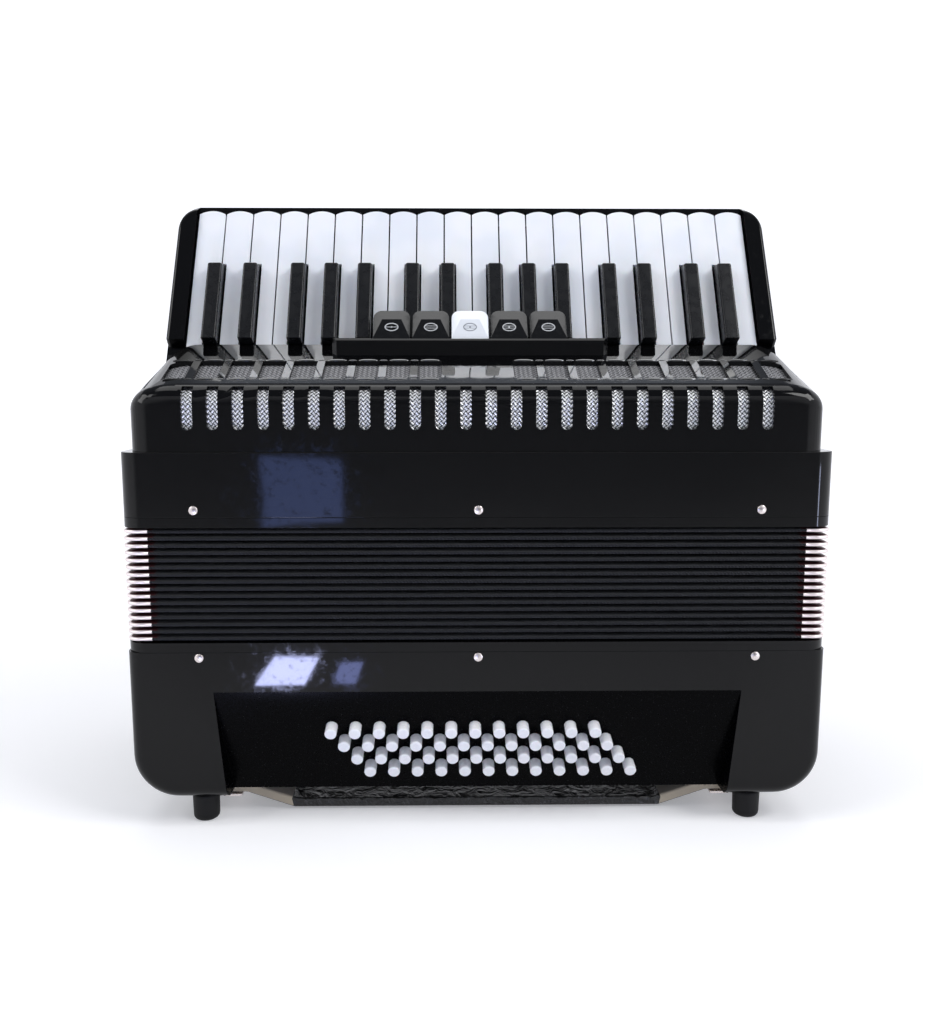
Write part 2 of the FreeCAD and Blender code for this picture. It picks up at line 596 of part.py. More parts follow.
# each octave from C: the black keys sit off the white joints by these spreads
BLACK_AFTER = {0: "-pair_spread", 1: "pair_spread", 3: "-trio_spread", 4: "0", 5: "trio_spread"}
WHITE_NAMES = "cdefgab"
LOWEST_KEY = "g3"


def keyboard():
    """All keys from the low G at +X to the high E at -X."""
    bodies = []
    low_end = f"({KEYS_WIDTH}/2)"
    total = SIZES["white_total"]
    first = WHITE_NAMES.index(LOWEST_KEY[0])
    for number in range(total):
        step = (first + number) % 7
        octave = int(LOWEST_KEY[1]) + (first + number) // 7
        note = WHITE_NAMES[step]
        high, low = f"({low_end} - white_pitch*{number + 1})", f"({low_end} - white_pitch*{number})"
        joint = "(black_width/2 + key_gap)"
        black_low = BLACK_AFTER.get((step - 1) % 7) if number > 0 else None
        black_high = BLACK_AFTER.get(step) if number < total - 1 else None
        left, right = f"({high} + key_gap/2)", f"({low} - key_gap/2)"
        cut_left = f"({high} - ({black_high}) + {joint})" if black_high else left
        cut_right = f"({low} - ({black_low}) - {joint})" if black_low else right
        middle = f"(({cut_left} + {cut_right})/2)"
        edges = [f"({edge} - {middle})" for edge in (left, right, cut_left, cut_right)]
        bodies.append(white_key(f"key_{note}{octave}", middle, *edges))
        if black_high:
            bodies.append(black_key(f"key_{note}{octave}_sharp", f"({high} - ({black_high}))"))
    return bodies


# ---------------------------------------------------------------- registers
BAR_FRONT = f"({BASE_Y} - bar_ahead)"
BAR_REAR = f"({BAR_FRONT} + bar_depth)"
BAR_TOP = f"({cover_top(BAR_FRONT)} + bar_height)"
TAB_Z = f"({BAR_TOP} - tab_axle_drop)"
TAB_Y = f"({BAR_FRONT} + bar_depth/2)"


def register_housing():
    """Bar on top of the cover, open behind, that carries the register tabs on one axle."""
    body = new_body("register_housing", x="register_shift")
    profile = new_sketch(body, "profile", "YZ_Plane")
    polygon(profile, [(BAR_FRONT, f"{cover_top(BAR_FRONT)} + seat_gap"),
                      (BAR_REAR, f"{cover_top(BAR_REAR)} + seat_gap"),
                      (BAR_REAR, BAR_TOP), (f"{BAR_FRONT} + bar_bevel", BAR_TOP),
                      (BAR_FRONT, f"{BAR_TOP} - bar_bevel")])
    pad(body, profile, "bar", "bar_length", middle=True)
    half, front = value("bar_length/2"), value(BAR_FRONT)
    chamfer(body, "ends", "2*bar_bevel", lambda edge: along(edge, Z_WAY)
            and near(abs(edge.BoundBox.XMin), half) and near(edge.BoundBox.YMin, front))
    slot = new_sketch(body, "slot_outline", "XY_Plane", BAR_TOP)
    rectangle(slot, "-(tab_count*tab_pitch)/2", "(tab_count*tab_pitch)/2",
              f"{BAR_FRONT} + bar_wall", f"{BAR_REAR} + cut_over")
    pocket(body, slot, "slot", "bar_slot_depth")
    bore = new_sketch(body, "axle_bore_outline", "YZ_Plane")
    circle(bore, TAB_Y, TAB_Z, "tab_axle_radius + tab_axle_play")
    pocket(body, bore, "axle_bore", "tab_count*tab_pitch + 2*bar_end", middle=True)
    return body


def register_tab(number):
    """A tab that swings on the housing's axle, with bevels on three sides."""
    middle = f"register_shift + ({number} - (tab_count - 1)/2)*tab_pitch"
    body = new_body(f"register_tab_{number + 1}", x=middle, y=TAB_Y, z=TAB_Z, turn=KEY_TURN)
    blade = new_sketch(body, "blade_outline", "XY_Plane", "-tab_thickness/2")
    rectangle(blade, "-tab_width/2", "tab_width/2", "-tab_heel", "tab_height + tab_axle_drop")
    pad(body, blade, "blade", "tab_thickness")
    front = value("tab_thickness/2")

    def front_rim(edge):
        box = edge.BoundBox
        return near(box.ZMin, front) and near(box.ZMax, front) and box.YMax > 1
    chamfer(body, "bevels", "tab_bevel", front_rim)
    bore = new_sketch(body, "bore_outline", "YZ_Plane")
    circle(bore, "0", "0", "tab_axle_radius + tab_axle_play")
    pocket(body, bore, "bore", "2*tab_width", middle=True)
    return body


# ---------------------------------------------------------------- bellows and frames
def octagon(sketch, length, depth, cut):
    """A rectangle about the origin with its corners cut off."""
    x, y = f"({length})/2", f"({depth})/2"
    near_x, near_y = f"({x} - {cut})", f"({y} - {cut})"
    polygon(sketch, [(f"-{near_x}", f"-{y}"), (near_x, f"-{y}"), (x, f"-{near_y}"), (x, near_y),
                     (near_x, y), (f"-{near_x}", y), (f"-{x}", near_y), (f"-{x}", f"-{near_y}")])


def bellows():
    """Pleated tube of card and cloth: each fold swells from its inner crease and back."""
    body = new_body("bellows", z=f"{BELLOWS_LOW} + seat_gap")
    length, depth = "case_length - 2*bellows_inset", "case_depth - 2*bellows_inset"
    pleat = f"(({BELLOWS_HEIGHT} - 2*seat_gap)/fold_count)"
    sections = []
    for name, up, inset in (("foot", "0", "fold_depth"), ("low_rim", f"{pleat}*0.4", "0"),
                            ("high_rim", f"{pleat}*0.6", "0"), ("top", pleat, "fold_depth")):
        section = new_sketch(body, f"{name}_outline", "XY_Plane", up)
        octagon(section, f"{length} - 2*{inset}", f"{depth} - 2*{inset}", "fold_corner")
        sections.append(section)
    fold = body.newObject("PartDesign::AdditiveLoft", "bellows_fold")
    fold.Profile = sections[0]
    fold.Sections = sections[1:]
    fold.Ruled = True
    folds = body.newObject("PartDesign::LinearPattern", "bellows_folds")
    folds.Originals = [fold]
    folds.Direction = (origin_part(body, "Z_Axis"), [""])
    folds.Mode = "Spacing"
    bind(folds, "Offset", pleat)
    bind(folds, "Occurrences", "fold_count")
    body.Tip = folds
    well(body, "air_space", f"{length} - 2*bellows_wall", f"{depth} - 2*bellows_wall",
         f"{BELLOWS_HEIGHT} + cut_over")
    return body


def bellows_frame(label, low, up):
    """Wooden frame that ends the bellows; its tongue sits inside a case and takes the pins."""
    body = new_body(label, z=low)
    rounded_box(body, "ring", "case_length", "case_depth", "frame_height", "case_corner")
    inside = "(2*case_wall + 2*plate_gap)"
    tongue = new_sketch(body, "tongue_outline", "XY_Plane", "frame_height" if up else "0")
    rectangle(tongue, f"-(case_length - {inside})/2", f"(case_length - {inside})/2",
              f"-(case_depth - {inside})/2", f"(case_depth - {inside})/2")
    pad(body, tongue, "tongue", "tongue_height", back=not up)
    opening = f"({inside} + 2*tongue_thickness)"
    well(body, "opening", f"case_length - {opening}", f"case_depth - {opening}",
         "frame_height + 2*tongue_height + 2*cut_over", out="-tongue_height - cut_over")
    return body


def reed_block(label, y, z, height, turn):
    """A wooden block of reed chambers, standing on the board that it serves."""
    body = new_body(label, y=y, z=z, turn=turn)
    profile = new_sketch(body, "profile", "YZ_Plane")
    half_foot, half, half_top = "reed_foot/2", "reed_width/2", "reed_width/4"
    polygon(profile, [(f"-{half_foot}", "0"), (half_foot, "0"), (half_foot, "reed_flange"),
                      (half, "reed_flange"), (half_top, height), (f"-{half_top}", height),
                      (f"-{half}", "reed_flange"), (f"-{half_foot}", "reed_flange")])
    pad(body, profile, "block", "reed_length", middle=True)
    return body


# ---------------------------------------------------------------- bass side
RECESS_Z = "(foot_height + recess_top)"


def panel_point(down, out):
    """World Y and Z of a point down the slanting button panel and out of it."""
    y = f"({FRONT} + ({down})*sin(recess_tilt) - ({out})*cos(recess_tilt))"
    z = f"({RECESS_Z} - ({down})*cos(recess_tilt) - ({out})*sin(recess_tilt))"
    return y, z


def button_x(row):
    """X of the first button of a row."""
    shift = f"({row} - (row_count - 1)/2)*row_offset"
    return f"(row_middle + {shift} - (row_buttons - 1)*button_pitch/2)"


def bass_case():
    """Box of the left hand: a slanting button panel in front, reed chamber above it."""
    body = new_body("bass_case", z="foot_height")
    base = new_sketch(body, "box_outline", "XY_Plane")
    rectangle(base, f"-{HALF_LENGTH}", HALF_LENGTH, FRONT, REAR)
    pad(body, base, "box", "bass_height")
    half = value(HALF_LENGTH)
    fillet(body, "big_corners", "bass_corner", lambda edge: along(edge, Y_WAY)
           and near(edge.BoundBox.ZMin, 0) and near(abs(edge.BoundBox.XMin), half))
    deep = value(REAR)

    def face_contour(edge):
        box = edge.BoundBox
        on_face = near(abs(box.YMin), deep) and near(box.YMin, box.YMax)
        return on_face and not (near(box.ZMin, box.ZMax) and box.ZMin > 1)
    fillet(body, "face_edges", "bass_edge", face_contour)
    # the recess is cut square to the panel, so its floor is the slanting panel
    recess = new_sketch(body, "recess_outline", "XZ_Plane", f"-{FRONT}")
    recess.AttachmentOffset.Rotation = Rotation(Vector(1, 0, 0), 1)
    bind(recess, "AttachmentOffset.Rotation.Angle", "recess_tilt")
    bind(recess, "AttachmentOffset.Base.y", "recess_top")
    foot = "(-recess_top/cos(recess_tilt) - panel_thickness)"
    polygon(recess, [("-recess_width/2", "0"), ("recess_width/2", "0"),
                     ("recess_width/2 - recess_taper/2", foot),
                     ("-recess_width/2 + recess_taper/2", foot)])
    pocket(body, recess, "recess", "recess_top", back=True)
    # mechanism space behind the panel, open below until the end plate closes it
    inside = new_sketch(body, "cavity_profile", "YZ_Plane")
    y_low, z_low = panel_point("recess_top/cos(recess_tilt) + panel_thickness", "-panel_thickness")
    ceiling = "(bass_board_up - bass_board)"
    y_ceiling = f"({y_low} - ({ceiling} - ({z_low} - foot_height))*tan(recess_tilt))"
    polygon(inside, [(y_low, f"{z_low} - foot_height"),
                     (f"{REAR} - case_wall", f"{z_low} - foot_height"),
                     (f"{REAR} - case_wall", ceiling), (y_ceiling, ceiling)])
    pocket(body, inside, "cavity", "cavity_width", middle=True)
    well(body, "reed_chamber", "case_length - 2*case_wall", "case_depth - 2*case_wall",
         "bass_height - bass_board_up", out="bass_height", back=False)
    rebate = new_sketch(body, "rebate_outline", "XY_Plane")
    plate_front = f"({panel_point('recess_top/cos(recess_tilt)', '-panel_thickness')[0]})"
    rectangle(rebate, "-cavity_width/2 - plate_margin", "cavity_width/2 + plate_margin",
              plate_front, f"{REAR} - case_wall + plate_lap")
    pocket(body, rebate, "rebate", "plate_thickness", back=True)
    holes = new_sketch(body, "button_holes_outline", "XZ_Plane", f"-{FRONT}")
    holes.AttachmentOffset.Rotation = Rotation(Vector(1, 0, 0), 1)
    bind(holes, "AttachmentOffset.Rotation.Angle", "recess_tilt")
    bind(holes, "AttachmentOffset.Base.y", "recess_top")
    for row in range(SIZES["row_count"]):
        ring_of_sides(holes, button_x(row), f"-(row_first + {row}*row_pitch)",
                      "(button_radius + button_play)")
    cut = pocket(body, holes, "button_hole", "panel_thickness + 3*cut_over")
    repeat(body, cut, "button_holes", "button_pitch", "row_buttons")
    return body


def bass_end_plate():
    """Plate that closes the mechanism space and faces the player's palm."""
    body = new_body("bass_end_plate", z="foot_height")
    front = f"({panel_point('recess_top/cos(recess_tilt)', '-panel_thickness')[0]} + plate_gap)"
    base = new_sketch(body, "outline", "XY_Plane")
    rectangle(base, "-cavity_width/2 - plate_margin + plate_gap",
              "cavity_width/2 + plate_margin - plate_gap", front,
              f"{REAR} - case_wall + plate_lap - plate_gap")
    pad(body, base, "plate", "plate_thickness - seat_gap")
    bore = new_sketch(body, "air_bore_outline", "XY_Plane")
    circle(bore, "air_x", f"{FRONT} + air_back", "air_stem + air_play")
    pocket(body, bore, "air_bore", "plate_thickness + cut_over", back=True)
    return body


def bass_row(row):
    """One row of bass buttons; each is a head on a stem that runs through the panel."""
    y, z = panel_point(f"row_first + {row}*row_pitch", "0")
    body = new_body(f"bass_button_row_{row + 1}", y=y, z=z, turn="90 + recess_tilt")
    profile = new_sketch(body, "profile", "XZ_Plane")
    polygon(profile, [("0", "-panel_thickness - button_root"),
                      ("button_radius", "-panel_thickness - button_root"),
                      ("button_radius", "button_out"), ("0", "button_out")])
    bind(body, "Placement.Base.x", button_x(row))
    button = revolve(body, profile, "button")
    repeat(body, button, "buttons", "button_pitch", "row_buttons")
    return body


def bass_strap():
    """Leather band for the left hand, let down close to the floor between its two ends."""
    body = new_body("bass_strap", y=f"{FRONT} + strap_front + strap_width/2")
    low, top = "strap_clear", "(strap_clear + strap_thickness)"
    seat = "(foot_height - seat_gap)"
    profile = new_sketch(body, "profile", "XZ_Plane")
    right = [("strap_flat", low), ("strap_end", f"{seat} - strap_thickness"),
             ("strap_end + strap_tab", f"{seat} - strap_thickness"),
             ("strap_end + strap_tab", seat), ("strap_end - strap_slant", seat),
             ("strap_flat - strap_slant", top)]
    left = [(f"-({u})", v) for u, v in reversed(right)]
    polygon(profile, right + left)
    pad(body, profile, "band", "strap_width", middle=True)
    bends = [value(u) for u, _ in right if "tab" not in u]
    fillet(body, "bends", "strap_bend", lambda edge: along(edge, Y_WAY)
           and any(near(abs(edge.BoundBox.XMin), bend) for bend in bends))
    return body


def rubber_feet():
    """Four tapered rubber feet."""
    body = new_body("rubber_feet")
    base = new_sketch(body, "outline", "XY_Plane", "foot_height - seat_gap")
    for x in ("-foot_x", "foot_x"):
        for y in (f"({FRONT} + foot_inset)", f"({REAR} - foot_inset)"):
            circle(base, x, y, "foot_radius")
    pad(body, base, "feet", "foot_height - seat_gap", back=True, taper="-foot_taper")
    return body


def air_button():
    """Push button under the thumb that opens the air valve."""
    body = new_body("air_button", x="air_x", y=f"{FRONT} + air_back", z="foot_height",
                    turn="180")
    profile = new_sketch(body, "profile", "XZ_Plane")
    polygon(profile, [("0", "-air_stem_length"), ("air_stem", "-air_stem_length"),
                      ("air_stem", "air_out - air_head"), ("air_radius", "air_out - air_head"),
                      ("air_radius", "air_out - air_bevel"),
                      ("air_radius - air_bevel", "air_out"),
                      ("0", "air_out")])
    revolve(body, profile, "button")
    return body


# ---------------------------------------------------------------- metal fittings
def pin_row(body, z):
    """Three round-headed pins on square shanks along the front and three along the back."""
    for name, face, back in (("front", FRONT, False), ("back", REAR, True)):
        head = new_sketch(body, f"{name}_head_outline", "XZ_Plane", f"-{face}")
        circle(head, "-pin_spacing", z, "pin_head")
        top = pad(body, head, f"{name}_head", "pin_rise", back=back)
        shank = new_sketch(body, f"{name}_shank_outline", "XZ_Plane", f"-{face}")
        rectangle(shank, "-pin_spacing - pin_shank", "-pin_spacing + pin_shank",
                  f"{z} - pin_shank", f"{z} + pin_shank")
        root = pad(body, shank, f"{name}_shank", "pin_length", back=not back)
        repeat(body, [top, root], f"{name}_pins", "pin_spacing", "3")


def lug(body, name, x, z):
    """A screwed plate on the back of a case with a drilled ear for a shoulder strap's hook."""
    foot = new_sketch(body, f"{name}_plate_outline", "XZ_Plane", f"-{REAR}")
    rectangle(foot, f"{x} - lug_width/2", f"{x} + lug_width/2", f"{z} - lug_height",
              f"{z} + lug_height")
    pad(body, foot, f"{name}_plate", "lug_plate", back=True)
    ear = new_sketch(body, f"{name}_ear_outline", "YZ_Plane", x)
    rectangle(ear, f"{REAR} + lug_plate/2", f"{REAR} + lug_plate + lug_reach", f"{z} - lug_height/2",
              f"{z} + lug_height/2")
    pad(body, ear, f"{name}_ear", "lug_plate*1.4", middle=True)
    hole = new_sketch(body, f"{name}_hole_outline", "YZ_Plane", x)
    circle(hole, f"{REAR} + lug_plate + lug_reach/2", z, "lug_bore")
    pocket(body, hole, f"{name}_hole", "lug_width", middle=True)


def rod(body, name, y, z, radius, length, x="0"):
    profile = new_sketch(body, f"{name}_outline", "YZ_Plane", x)
    circle(profile, y, z, radius)
    pad(body, profile, name, length, middle=True)


def treble_metalwork():
    """Key axle, register axle, bellows pins and strap lugs of the treble half."""
    body = new_body("treble_metalwork")
    rod(body, "key_axle", AXLE_Y, AXLE_Z, "axle_radius", f"{FRAME_WIDTH} - 2*axle_inset",
        x="key_shift")
    rod(body, "register_axle", TAB_Y, TAB_Z, "tab_axle_radius",
        "tab_count*tab_pitch + 2*bar_end - 2*seat_gap", x="register_shift")
    pin_row(body, f"({TREBLE_LOW} + pin_edge)")
    for name, x in (("low", f"({HALF_LENGTH} - lug_inset)"),
                    ("inner", f"({HALF_LENGTH} - lug_inset - lug_spacing)"),
                    ("high", f"(lug_inset - {HALF_LENGTH})")):
        lug(body, name, x, f"({TREBLE_LOW} + treble_height/2)")
    return body


def bass_metalwork():
    """Bellows pins, strap clamps and the lower strap lug of the bass half."""
    body = new_body("bass_metalwork")
    pin_row(body, f"({BASS_TOP} - pin_edge_bass)")
    lug(body, "lower", f"(lug_inset - {HALF_LENGTH})", f"({BASS_TOP} - bass_height/2)")
    under = "(foot_height - 2*seat_gap - strap_thickness)"
    for name, sign in (("low", ""), ("high", "-")):
        clamp = new_sketch(body, f"{name}_clamp_outline", "XY_Plane", under)
        x0, x1 = f"{sign}(strap_end + clamp_inset)", f"{sign}(strap_end + strap_tab - clamp_inset/3)"
        left, right = (x0, x1) if name == "low" else (x1, x0)
        y = f"({FRONT} + strap_front + strap_width/2)"
        rectangle(clamp, left, right, f"{y} - strap_width/2 - clamp_over",
                  f"{y} + strap_width/2 + clamp_over")
        pad(body, clamp, f"{name}_clamp", "clamp_thickness", back=True)
    return body


# ---------------------------------------------------------------- build and export
parts = [treble_case(), treble_cover(), grille_mesh(), keyboard_frame(), register_housing(),
         reed_block("treble_reed_block", f"{FRONT} + pallet_back", f"{TREBLE_TOP} - case_wall",
                    "treble_reed_height", "180"),
         bellows_frame("treble_bellows_frame", BELLOWS_TOP, True), treble_metalwork(), bellows(),
         bass_case(), bass_end_plate(), bellows_frame("bass_bellows_frame", BASS_TOP, False),
         reed_block("bass_reed_block", "0", "foot_height + bass_board_up", "bass_reed_height", "0"),
         rubber_feet(), bass_strap(), bass_metalwork(), air_button()]
parts += [register_tab(number) for number in range(SIZES["tab_count"])]
parts += [bass_row(row) for row in range(SIZES["row_count"])]
parts += keyboard()
doc.recompute()

for item in doc.Objects:
    if "Invalid" in item.State or "Error" in item.State:
        raise RuntimeError(f"{item.Label} did not build")
for body in parts:
    if body.Shape.isNull() or not body.Shape.isValid():
        raise RuntimeError(f"{body.Label} has no valid shape")
    body.Shape.exportStep(f"parts/{body.Label}.step")
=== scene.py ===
"""Looks of a piano accordion that stands closed on the feet of its bass side."""
import json
import math

import bmesh
import bpy
from mathutils import Matrix, Vector

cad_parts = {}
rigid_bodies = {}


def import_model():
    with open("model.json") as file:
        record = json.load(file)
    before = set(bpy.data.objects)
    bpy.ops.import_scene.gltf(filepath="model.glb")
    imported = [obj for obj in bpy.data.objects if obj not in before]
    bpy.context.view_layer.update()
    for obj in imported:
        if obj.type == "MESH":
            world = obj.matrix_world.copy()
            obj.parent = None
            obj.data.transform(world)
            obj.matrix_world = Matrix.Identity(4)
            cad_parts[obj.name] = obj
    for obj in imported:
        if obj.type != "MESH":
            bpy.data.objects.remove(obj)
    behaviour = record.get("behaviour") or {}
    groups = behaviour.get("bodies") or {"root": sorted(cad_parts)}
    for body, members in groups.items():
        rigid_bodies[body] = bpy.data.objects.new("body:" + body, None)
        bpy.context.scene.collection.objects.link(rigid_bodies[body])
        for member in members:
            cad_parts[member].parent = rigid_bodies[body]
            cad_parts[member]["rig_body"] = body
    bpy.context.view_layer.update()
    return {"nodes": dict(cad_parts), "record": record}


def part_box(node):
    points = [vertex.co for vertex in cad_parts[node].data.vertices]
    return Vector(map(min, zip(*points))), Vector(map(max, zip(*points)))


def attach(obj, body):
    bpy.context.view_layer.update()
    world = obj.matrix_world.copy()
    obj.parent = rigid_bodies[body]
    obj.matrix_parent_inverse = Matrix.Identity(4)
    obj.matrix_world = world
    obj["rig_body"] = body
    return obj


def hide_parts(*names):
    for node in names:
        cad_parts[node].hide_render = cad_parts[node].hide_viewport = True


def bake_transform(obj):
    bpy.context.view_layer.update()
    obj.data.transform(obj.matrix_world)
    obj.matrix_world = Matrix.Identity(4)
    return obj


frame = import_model()

# ---------------------------------------------------------------- camera
# A hand-held view from the height of the grille, square to the front and tipped a little
# down, about half a metre away.
bpy.context.scene.view_settings.view_transform = "Standard"
lens = bpy.data.cameras.new("camera")
lens.sensor_width = 36
lens.lens = 33.57
camera = bpy.data.objects.new("camera", lens)
case_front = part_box("treble_case")[0].y
camera.location = (-0.0174, case_front - 0.5619, 0.279)
camera.rotation_euler = (math.radians(81.78), 0, math.radians(-0.80))
bpy.context.scene.collection.objects.link(camera)
bpy.context.scene.camera = camera


# ---------------------------------------------------------------- floor and light
# A pale paper sweep that rises into a softly glowing wall, white to the eye all round. Gloss
# mirrors it dim straight ahead of the front, as in a room lit from one side, so that polished
# black stays black.
def linear(hex_colour):
    """An sRGB hex value as linear RGBA."""
    parts = [int(hex_colour[i:i + 2], 16) / 255 for i in (1, 3, 5)]
    return [p / 12.92 if p <= 0.04045 else ((p + 0.055) / 1.055) ** 2.4 for p in parts] + [1]


def node(tree, kind, inputs=(), out=0, **settings):
    """Adds a shader node and gives its output; inputs are values or outputs, named or in order."""
    made = tree.nodes.new(kind)
    for key, setting in settings.items():
        setattr(made, key, setting)
    for socket, source in inputs.items() if isinstance(inputs, dict) else enumerate(inputs):
        if isinstance(source, bpy.types.NodeSocket):
            tree.links.new(source, made.inputs[socket])
        else:
            made.inputs[socket].default_value = source
    return made.outputs[out]


def new_material(name, colour, roughness, **sockets):
    """A Principled material with its tree, a setter for its sockets and object coordinates."""
    made = bpy.data.materials.new(name)
    made.use_nodes = True
    tree = made.node_tree
    shader = tree.nodes["Principled BSDF"]

    def put(**feeds):
        for socket, source in feeds.items():
            socket = socket.replace("_", " ")
            if isinstance(source, bpy.types.NodeSocket):
                tree.links.new(source, shader.inputs[socket])
            else:
                shader.inputs[socket].default_value = source
    put(Base_Color=linear(colour), Roughness=roughness, **sockets)
    return made, tree, put, node(tree, "ShaderNodeTexCoord", out="Object")


def mesh_piece(name, bm, *materials, smooth=True):
    """Turns a bmesh into an object at the origin."""
    mesh = bpy.data.meshes.new(name)
    bm.to_mesh(mesh)
    bm.free()
    for face in mesh.polygons:
        face.use_smooth = smooth
    piece = bpy.data.objects.new(name, mesh)
    for material in materials:
        mesh.materials.append(material)
    bpy.context.scene.collection.objects.link(piece)
    return piece


# Matt paper: an even white without a horizon. The dim sector spans 18 to 42 degrees off
# straight ahead, and it closes near the instrument; reaches are metres from its middle.
paper, tree, put, place = new_material("sweep_paper", "#e6e6e8", 0.95,
                                       Specular_IOR_Level=0.05)
spot = node(tree, "ShaderNodeSeparateXYZ", [place]).node.outputs
reach = node(tree, "ShaderNodeVectorMath", [place], out="Value", operation="LENGTH")
ahead = node(tree, "ShaderNodeMath", [spot["Y"], reach], operation="DIVIDE")
sector = node(tree, "ShaderNodeMapRange", [ahead, -0.95, -0.74, 0.04, 1.0],
              interpolation_type="SMOOTHSTEP")
near = node(tree, "ShaderNodeMapRange", [reach, 0.22, 0.7, 1.0, 0.0],
            interpolation_type="SMOOTHSTEP")
away = node(tree, "ShaderNodeMapRange", [reach, 0.25, 2.0, 0.3, 0.9],
            interpolation_type="SMOOTHSTEP")
ray = node(tree, "ShaderNodeLightPath").node.outputs
beside = node(tree, "ShaderNodeMath", [sector, near], operation="MAXIMUM")
beside = node(tree, "ShaderNodeMath", [beside, ray["Is Camera Ray"]], operation="MAXIMUM")
seen = node(tree, "ShaderNodeMath", [ray["Is Camera Ray"], ray["Is Glossy Ray"]],
            operation="ADD")
seen = node(tree, "ShaderNodeMath", [seen, ray["Is Transmission Ray"]], operation="ADD",
            use_clamp=True)
glow = node(tree, "ShaderNodeMath", [beside, away], operation="MULTIPLY")
put(Emission_Color=linear("#fafbff"),
    Emission_Strength=node(tree, "ShaderNodeMath", [glow, seen], operation="MULTIPLY"))
sweep_reach, wall_height, cove = 4.0, 3.6, 2.4
bm = bmesh.new()
flat_end = bm.verts.new((sweep_reach - cove, 0, 0))
bm.edges.new((bm.verts.new((0, 0, 0)), flat_end))
risen = bmesh.ops.spin(bm, geom=[flat_end], cent=(sweep_reach - cove, 0, cove),
                       axis=(0, -1, 0), angle=math.pi / 2, steps=16)["geom_last"]
wall = bmesh.ops.extrude_vert_indiv(bm, verts=[item for item in risen
                                               if isinstance(item, bmesh.types.BMVert)])
bmesh.ops.translate(bm, verts=wall["verts"], vec=(0, 0, wall_height - cove))
bmesh.ops.spin(bm, geom=[*bm.verts, *bm.edges], cent=(0, 0, 0), axis=(0, 0, 1),
               angle=math.tau, steps=96, use_merge=True)
bmesh.ops.remove_doubles(bm, verts=bm.verts, dist=1e-5)
bmesh.ops.recalc_face_normals(bm, faces=bm.faces)
bm.faces.ensure_lookup_table()
if bm.faces[0].normal.z < 0:
    bmesh.ops.reverse_faces(bm, faces=bm.faces)
mesh_piece("floor", bm, paper)

world = bpy.data.worlds.new("room")
bpy.context.scene.world = world
world.use_nodes = True
world.node_tree.nodes["Background"].inputs["Color"].default_value = linear("#cfd6e4")
world.node_tree.nodes["Background"].inputs["Strength"].default_value = 0.35


def soft_box(name, place_at, aim, width, height, watts, tint="#ffffff"):
    """A lamp in a white-fronted box, kept out of the camera's sight."""
    lamp = bpy.data.lights.new(name, "AREA")
    lamp.shape = "RECTANGLE"
    lamp.size, lamp.size_y = width, height
    lamp.energy = watts
    lamp.color = linear(tint)[:3]
    lamp.spread = math.pi
    box = bpy.data.objects.new(name, lamp)
    box.location = place_at
    way = Vector(aim) - Vector(place_at)
    box.rotation_euler = way.to_track_quat("-Z", "Y").to_euler()
    box.visible_camera = False
    bpy.context.scene.collection.objects.link(box)


# the studio: a key from the right, a fill from the left, one box overhead and one behind
soft_box("key_box", (1.15, -0.65, 1.35), (0, 0, 0.33), 0.8, 0.7, 15)
soft_box("fill_box", (-1.35, -0.6, 1.3), (0, 0, 0.2), 0.9, 0.9, 11)
soft_box("overhead_box", (0, 0, 1.7), (0, 0, 0.2), 1.75, 0.8, 11)
soft_box("rear_box", (0, 0.6, 1.85), (0, 0, 0.25), 1.4, 0.4, 4)
# small low glows that the polished front mirrors, as it mirrors a window and its light on
# the floor
soft_box("window_glow", (-0.243, -1.0, 0.1), (-0.243, 0, 0.1), 0.13, 0.1, 0.2, "#90aaff")
soft_box("window_pool", (-0.168, -0.4, 0.003), (-0.168, -0.4, 1), 0.045, 0.1, 0.95,
         "#c4ccff")
soft_box("narrow_pool", (-0.11, -0.39, 0.003), (-0.11, -0.39, 1), 0.02, 0.07, 0.07,
         "#a4b2ff")
soft_box("corner_glow", (0.62, -0.66, 0.09), (0.21, -0.09, 0.18), 0.07, 0.14, 0.6, "#d4dcff")


# ---------------------------------------------------------------- bass case
# The left-hand box: thin poplar covered with black celluloid that is softened, wrapped over the
# corners and buffed. The slanting floor of the button recess is a satin panel in a deeper black
# than the case, painted shade of the recess.
def welded_copy(name):
    """A bmesh copy of a CAD node with its loose triangles merged into faces."""
    bm = bmesh.new()
    bm.from_mesh(frame["nodes"][name].data)
    bmesh.ops.remove_doubles(bm, verts=bm.verts, dist=2e-6)
    bmesh.ops.dissolve_limit(bm, angle_limit=math.radians(0.6), verts=bm.verts, edges=bm.edges)
    return bm


def rounded_edges(bm, radius, sharp=32, segments=2, only_outer=False):
    """Rounds the edges that turn more than the sharp angle in degrees."""
    edges = [e for e in bm.edges if (e.is_convex if only_outer else e.is_manifold)
             and e.calc_face_angle(0) > math.radians(sharp)]
    bmesh.ops.bevel(bm, geom=edges, offset=radius, offset_type="OFFSET", segments=segments,
                    profile=0.5, affect="EDGES", clamp_overlap=True, material=-1)


def stand_for(piece, name):
    """Smooth-shades a piece with flat faces kept flat and puts it in the node's place."""
    weights = piece.modifiers.new("flat_faces", "WEIGHTED_NORMAL")
    weights.keep_sharp = True
    weights.weight = 80
    weights.thresh = 1e-5
    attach(piece, frame["nodes"][name]["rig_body"])
    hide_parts(name)
    return piece


def rounded_copy(name, radius, slot, *materials, sharp=32, segments=2):
    """Copies a CAD node with its sharp edges rounded to the radius."""
    bm = welded_copy(name)
    rounded_edges(bm, radius, sharp, segments)
    return stand_for(mesh_piece(f"{name}_shell", bm, *materials), name)


